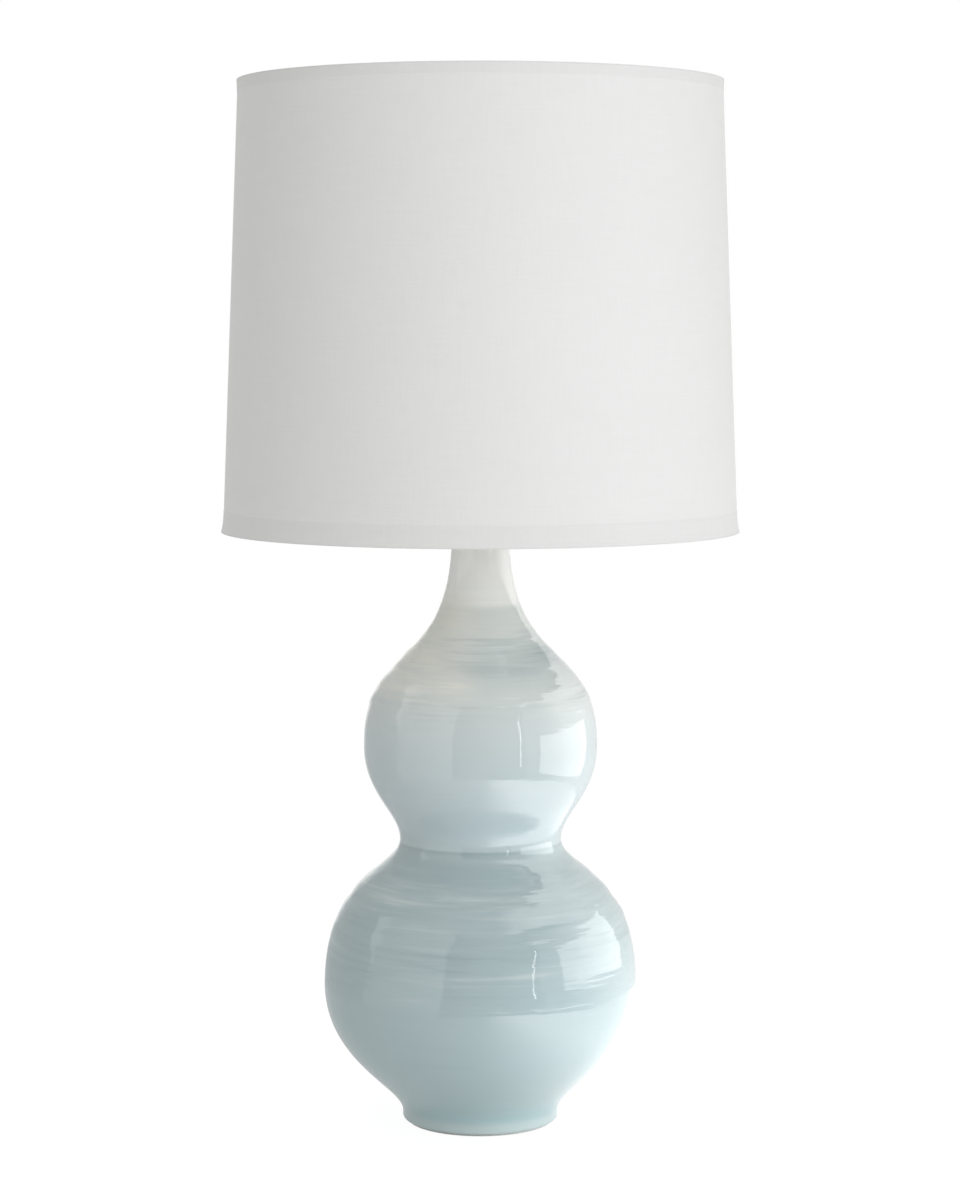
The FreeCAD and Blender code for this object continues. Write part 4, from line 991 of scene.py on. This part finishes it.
finishes.update({
    "glaze": glaze,
    "linen": linen,
    "styrene": styrene,
    "felt": dull("pale_felt", (0.52, 0.52, 0.50), (0.66, 0.66, 0.64), 0.95, 0.0012, 0.0003,
                 Sheen_Weight=0.4),
    "grommet_rubber": dull("white_rubber", (0.70, 0.70, 0.68), (0.78, 0.78, 0.76), 0.55,
                           0.0008, 0.00003),
    "black_rubber": dull("black_rubber", (0.02, 0.02, 0.02), (0.04, 0.04, 0.04), 0.7,
                         0.0006, 0.00004),
    "insulating_paper": dull("brown_paper", (0.28, 0.18, 0.10), (0.42, 0.29, 0.18), 0.85,
                             0.0015, 0.00006, (1, 1, 0.2)),
    "phenolic": dull("moulded_block", (0.018, 0.015, 0.014), (0.05, 0.042, 0.038), 0.38,
                     0.004, 0.00002),
    "knob_black": dull("moulded_knob", (0.012, 0.012, 0.012), (0.028, 0.028, 0.028), 0.22,
                       0.003, 0.00001, Coat_Weight=0.3),
    "frosted_glass": dull("frosted_glass", (0.86, 0.86, 0.84), (0.93, 0.93, 0.91), 0.34,
                          0.0007, 0.00002, Coat_Weight=0.25, Subsurface_Weight=0.15),
    "bulb_black_glass": dull("black_glass", (0.008, 0.008, 0.012), (0.02, 0.02, 0.028), 0.1,
                             0.004, 0.00002, Coat_Weight=0.6),
    "white_wire": dull("powder_coat", (0.80, 0.80, 0.775), (0.86, 0.86, 0.84), 0.36,
                       0.0009, 0.00006, Coat_Weight=0.2)})
print(f"{len(finishes)} finishes")

# %% [markdown]
# ## The pieces that keep their CAD shape
#
# The record names a finish for every piece. The pieces whose shape is right already, such as
# the harp's legs, the screws and the washers, take that finish and stay as they are.

# %% Dressing the CAD pieces
slots = {part["node"]: part["material_slot"] for part in frame["record"]["subparts"]}
for name, node in nodes.items():
    node.data.materials.clear()
    node.data.materials.append(finishes[slots[name]].material)
print(f"{len(slots)} pieces dressed")

# %% [markdown]
# ## Screw threads
#
# The bulb's cap and the harp's stud are plain cylinders in CAD. Their threads come from a tree
# of their own: a helix with a rounded section that thins out at both ends.

# %% A tree for threads
TAPER, THIN_END = 0.06, 0.25

thread = Tree("screw_thread", {
    "Radius": ("Float", 0.0128),
    "Pitch": ("Float", 0.0036),
    "Turns": ("Float", 4.0),
    "Bottom": ("Float", 0.0),
    "Ridge": ("Float", 0.0008),
    "Material": ("Material", None)})
height = thread.math("MULTIPLY", thread.given("Pitch"), thread.given("Turns"))
helix = thread.node("GeometryNodeCurveSpiral", {
    "Resolution": 40, "Rotations": thread.given("Turns"), "Start Radius": thread.given("Radius"),
    "End Radius": thread.given("Radius"), "Height": height, "Reverse": False})
along = thread.node("GeometryNodeSplineParameter")
tapers = [thread.ease(along, end, inside, THIN_END)
          for end, inside in ((0.0, TAPER), (1.0, 1 - TAPER))]
level = thread.node("GeometryNodeSetCurveNormal", {0: helix}, mode="Z_UP")
section = thread.node("GeometryNodeCurvePrimitiveCircle", {
    "Resolution": 8, "Radius": thread.given("Ridge")})
wound = thread.node("GeometryNodeCurveToMesh", {
    "Curve": level, "Profile Curve": section, "Fill Caps": True,
    "Scale": thread.math("MULTIPLY", *tapers)})
lift = thread.node("ShaderNodeCombineXYZ", {2: thread.given("Bottom")})
raised = thread.node("GeometryNodeSetPosition", {"Geometry": wound, "Offset": lift})
thread.finish(raised)


def threaded(name, body, slot, radius, pitch, turns, bottom, ridge):
    """A thread of sizes in millimetres, with the finish of the piece that it is cut on."""
    mesh = grow(thread, name, Material=finishes[slot].material, Radius=radius * MM,
                Pitch=pitch * MM, Turns=turns, Bottom=bottom * MM, Ridge=ridge * MM)
    return settle(name, mesh, body)


print(f"the tree for threads has {len(thread.tree.nodes)} nodes")

# %% [markdown]
# ## The bulb's cap
#
# A frosted globe sits in a rolled metal cap, which is a thin shell from the lathe. Its shank is
# as much slimmer than the CAD piece as the thread is deep.

# %% The bulb's cap
CAP_WALL, THREAD_DEPTH = 0.5, 0.75

cap_low, cap_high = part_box("bulb_cap")
cap_radius, cap_from, cap_to = cap_high.x / MM, cap_low.z / MM, cap_high.z / MM
shank = cap_radius - THREAD_DEPTH
turned("bulb_cap_shell", [
    (shank - CAP_WALL, cap_from), (shank - 0.6, cap_from), (shank, cap_from + 1.2),
    (shank, cap_to - 4.2), (cap_radius - 0.1, cap_to - 3.2), (cap_radius, cap_to - 0.6),
    (cap_radius - 0.3, cap_to), (cap_radius - CAP_WALL, cap_to),
    (cap_radius - 0.7, cap_to - 3.0), (shank - CAP_WALL, cap_to - 4.6)],
    finishes["bulb_aluminium"], "bulb", "bulb_aluminium", ("bulb_cap",))

# %% [markdown]
# The stud's thread starts at the spider's washer and rides on the stud, because it has to
# turn with it. The bulb's is coarser, and stands proud of the shank of its cap.

# %% The two threads
STUD_CORE, STUD_PITCH, STUD_RIDGE = 2.88, 0.94, 0.34
STUD_LEAD, STUD_BLANK = 0.2, 0.9
CAP_PITCH, CAP_TURNS, CAP_LEAD, CAP_SINK = 3.63, 3.6, 2.2, 0.1

stud_from, stud_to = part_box("spider_washer")[0].z / MM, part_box("harp_stud")[1].z / MM
stud_turns = math.floor((stud_to - stud_from - STUD_BLANK) / STUD_PITCH)
threaded("stud_thread", "stud", "harp_nickel", STUD_CORE, STUD_PITCH, stud_turns,
         stud_from + STUD_LEAD, STUD_RIDGE)
threaded("bulb_thread", "bulb", "bulb_aluminium", shank - 0.15, CAP_PITCH, CAP_TURNS,
         cap_from + CAP_LEAD, THREAD_DEPTH + CAP_SINK)

# %% [markdown]
# ## The view transform
#
# The render uses the Standard view transform.

bpy.context.scene.view_settings.view_transform = "Standard"
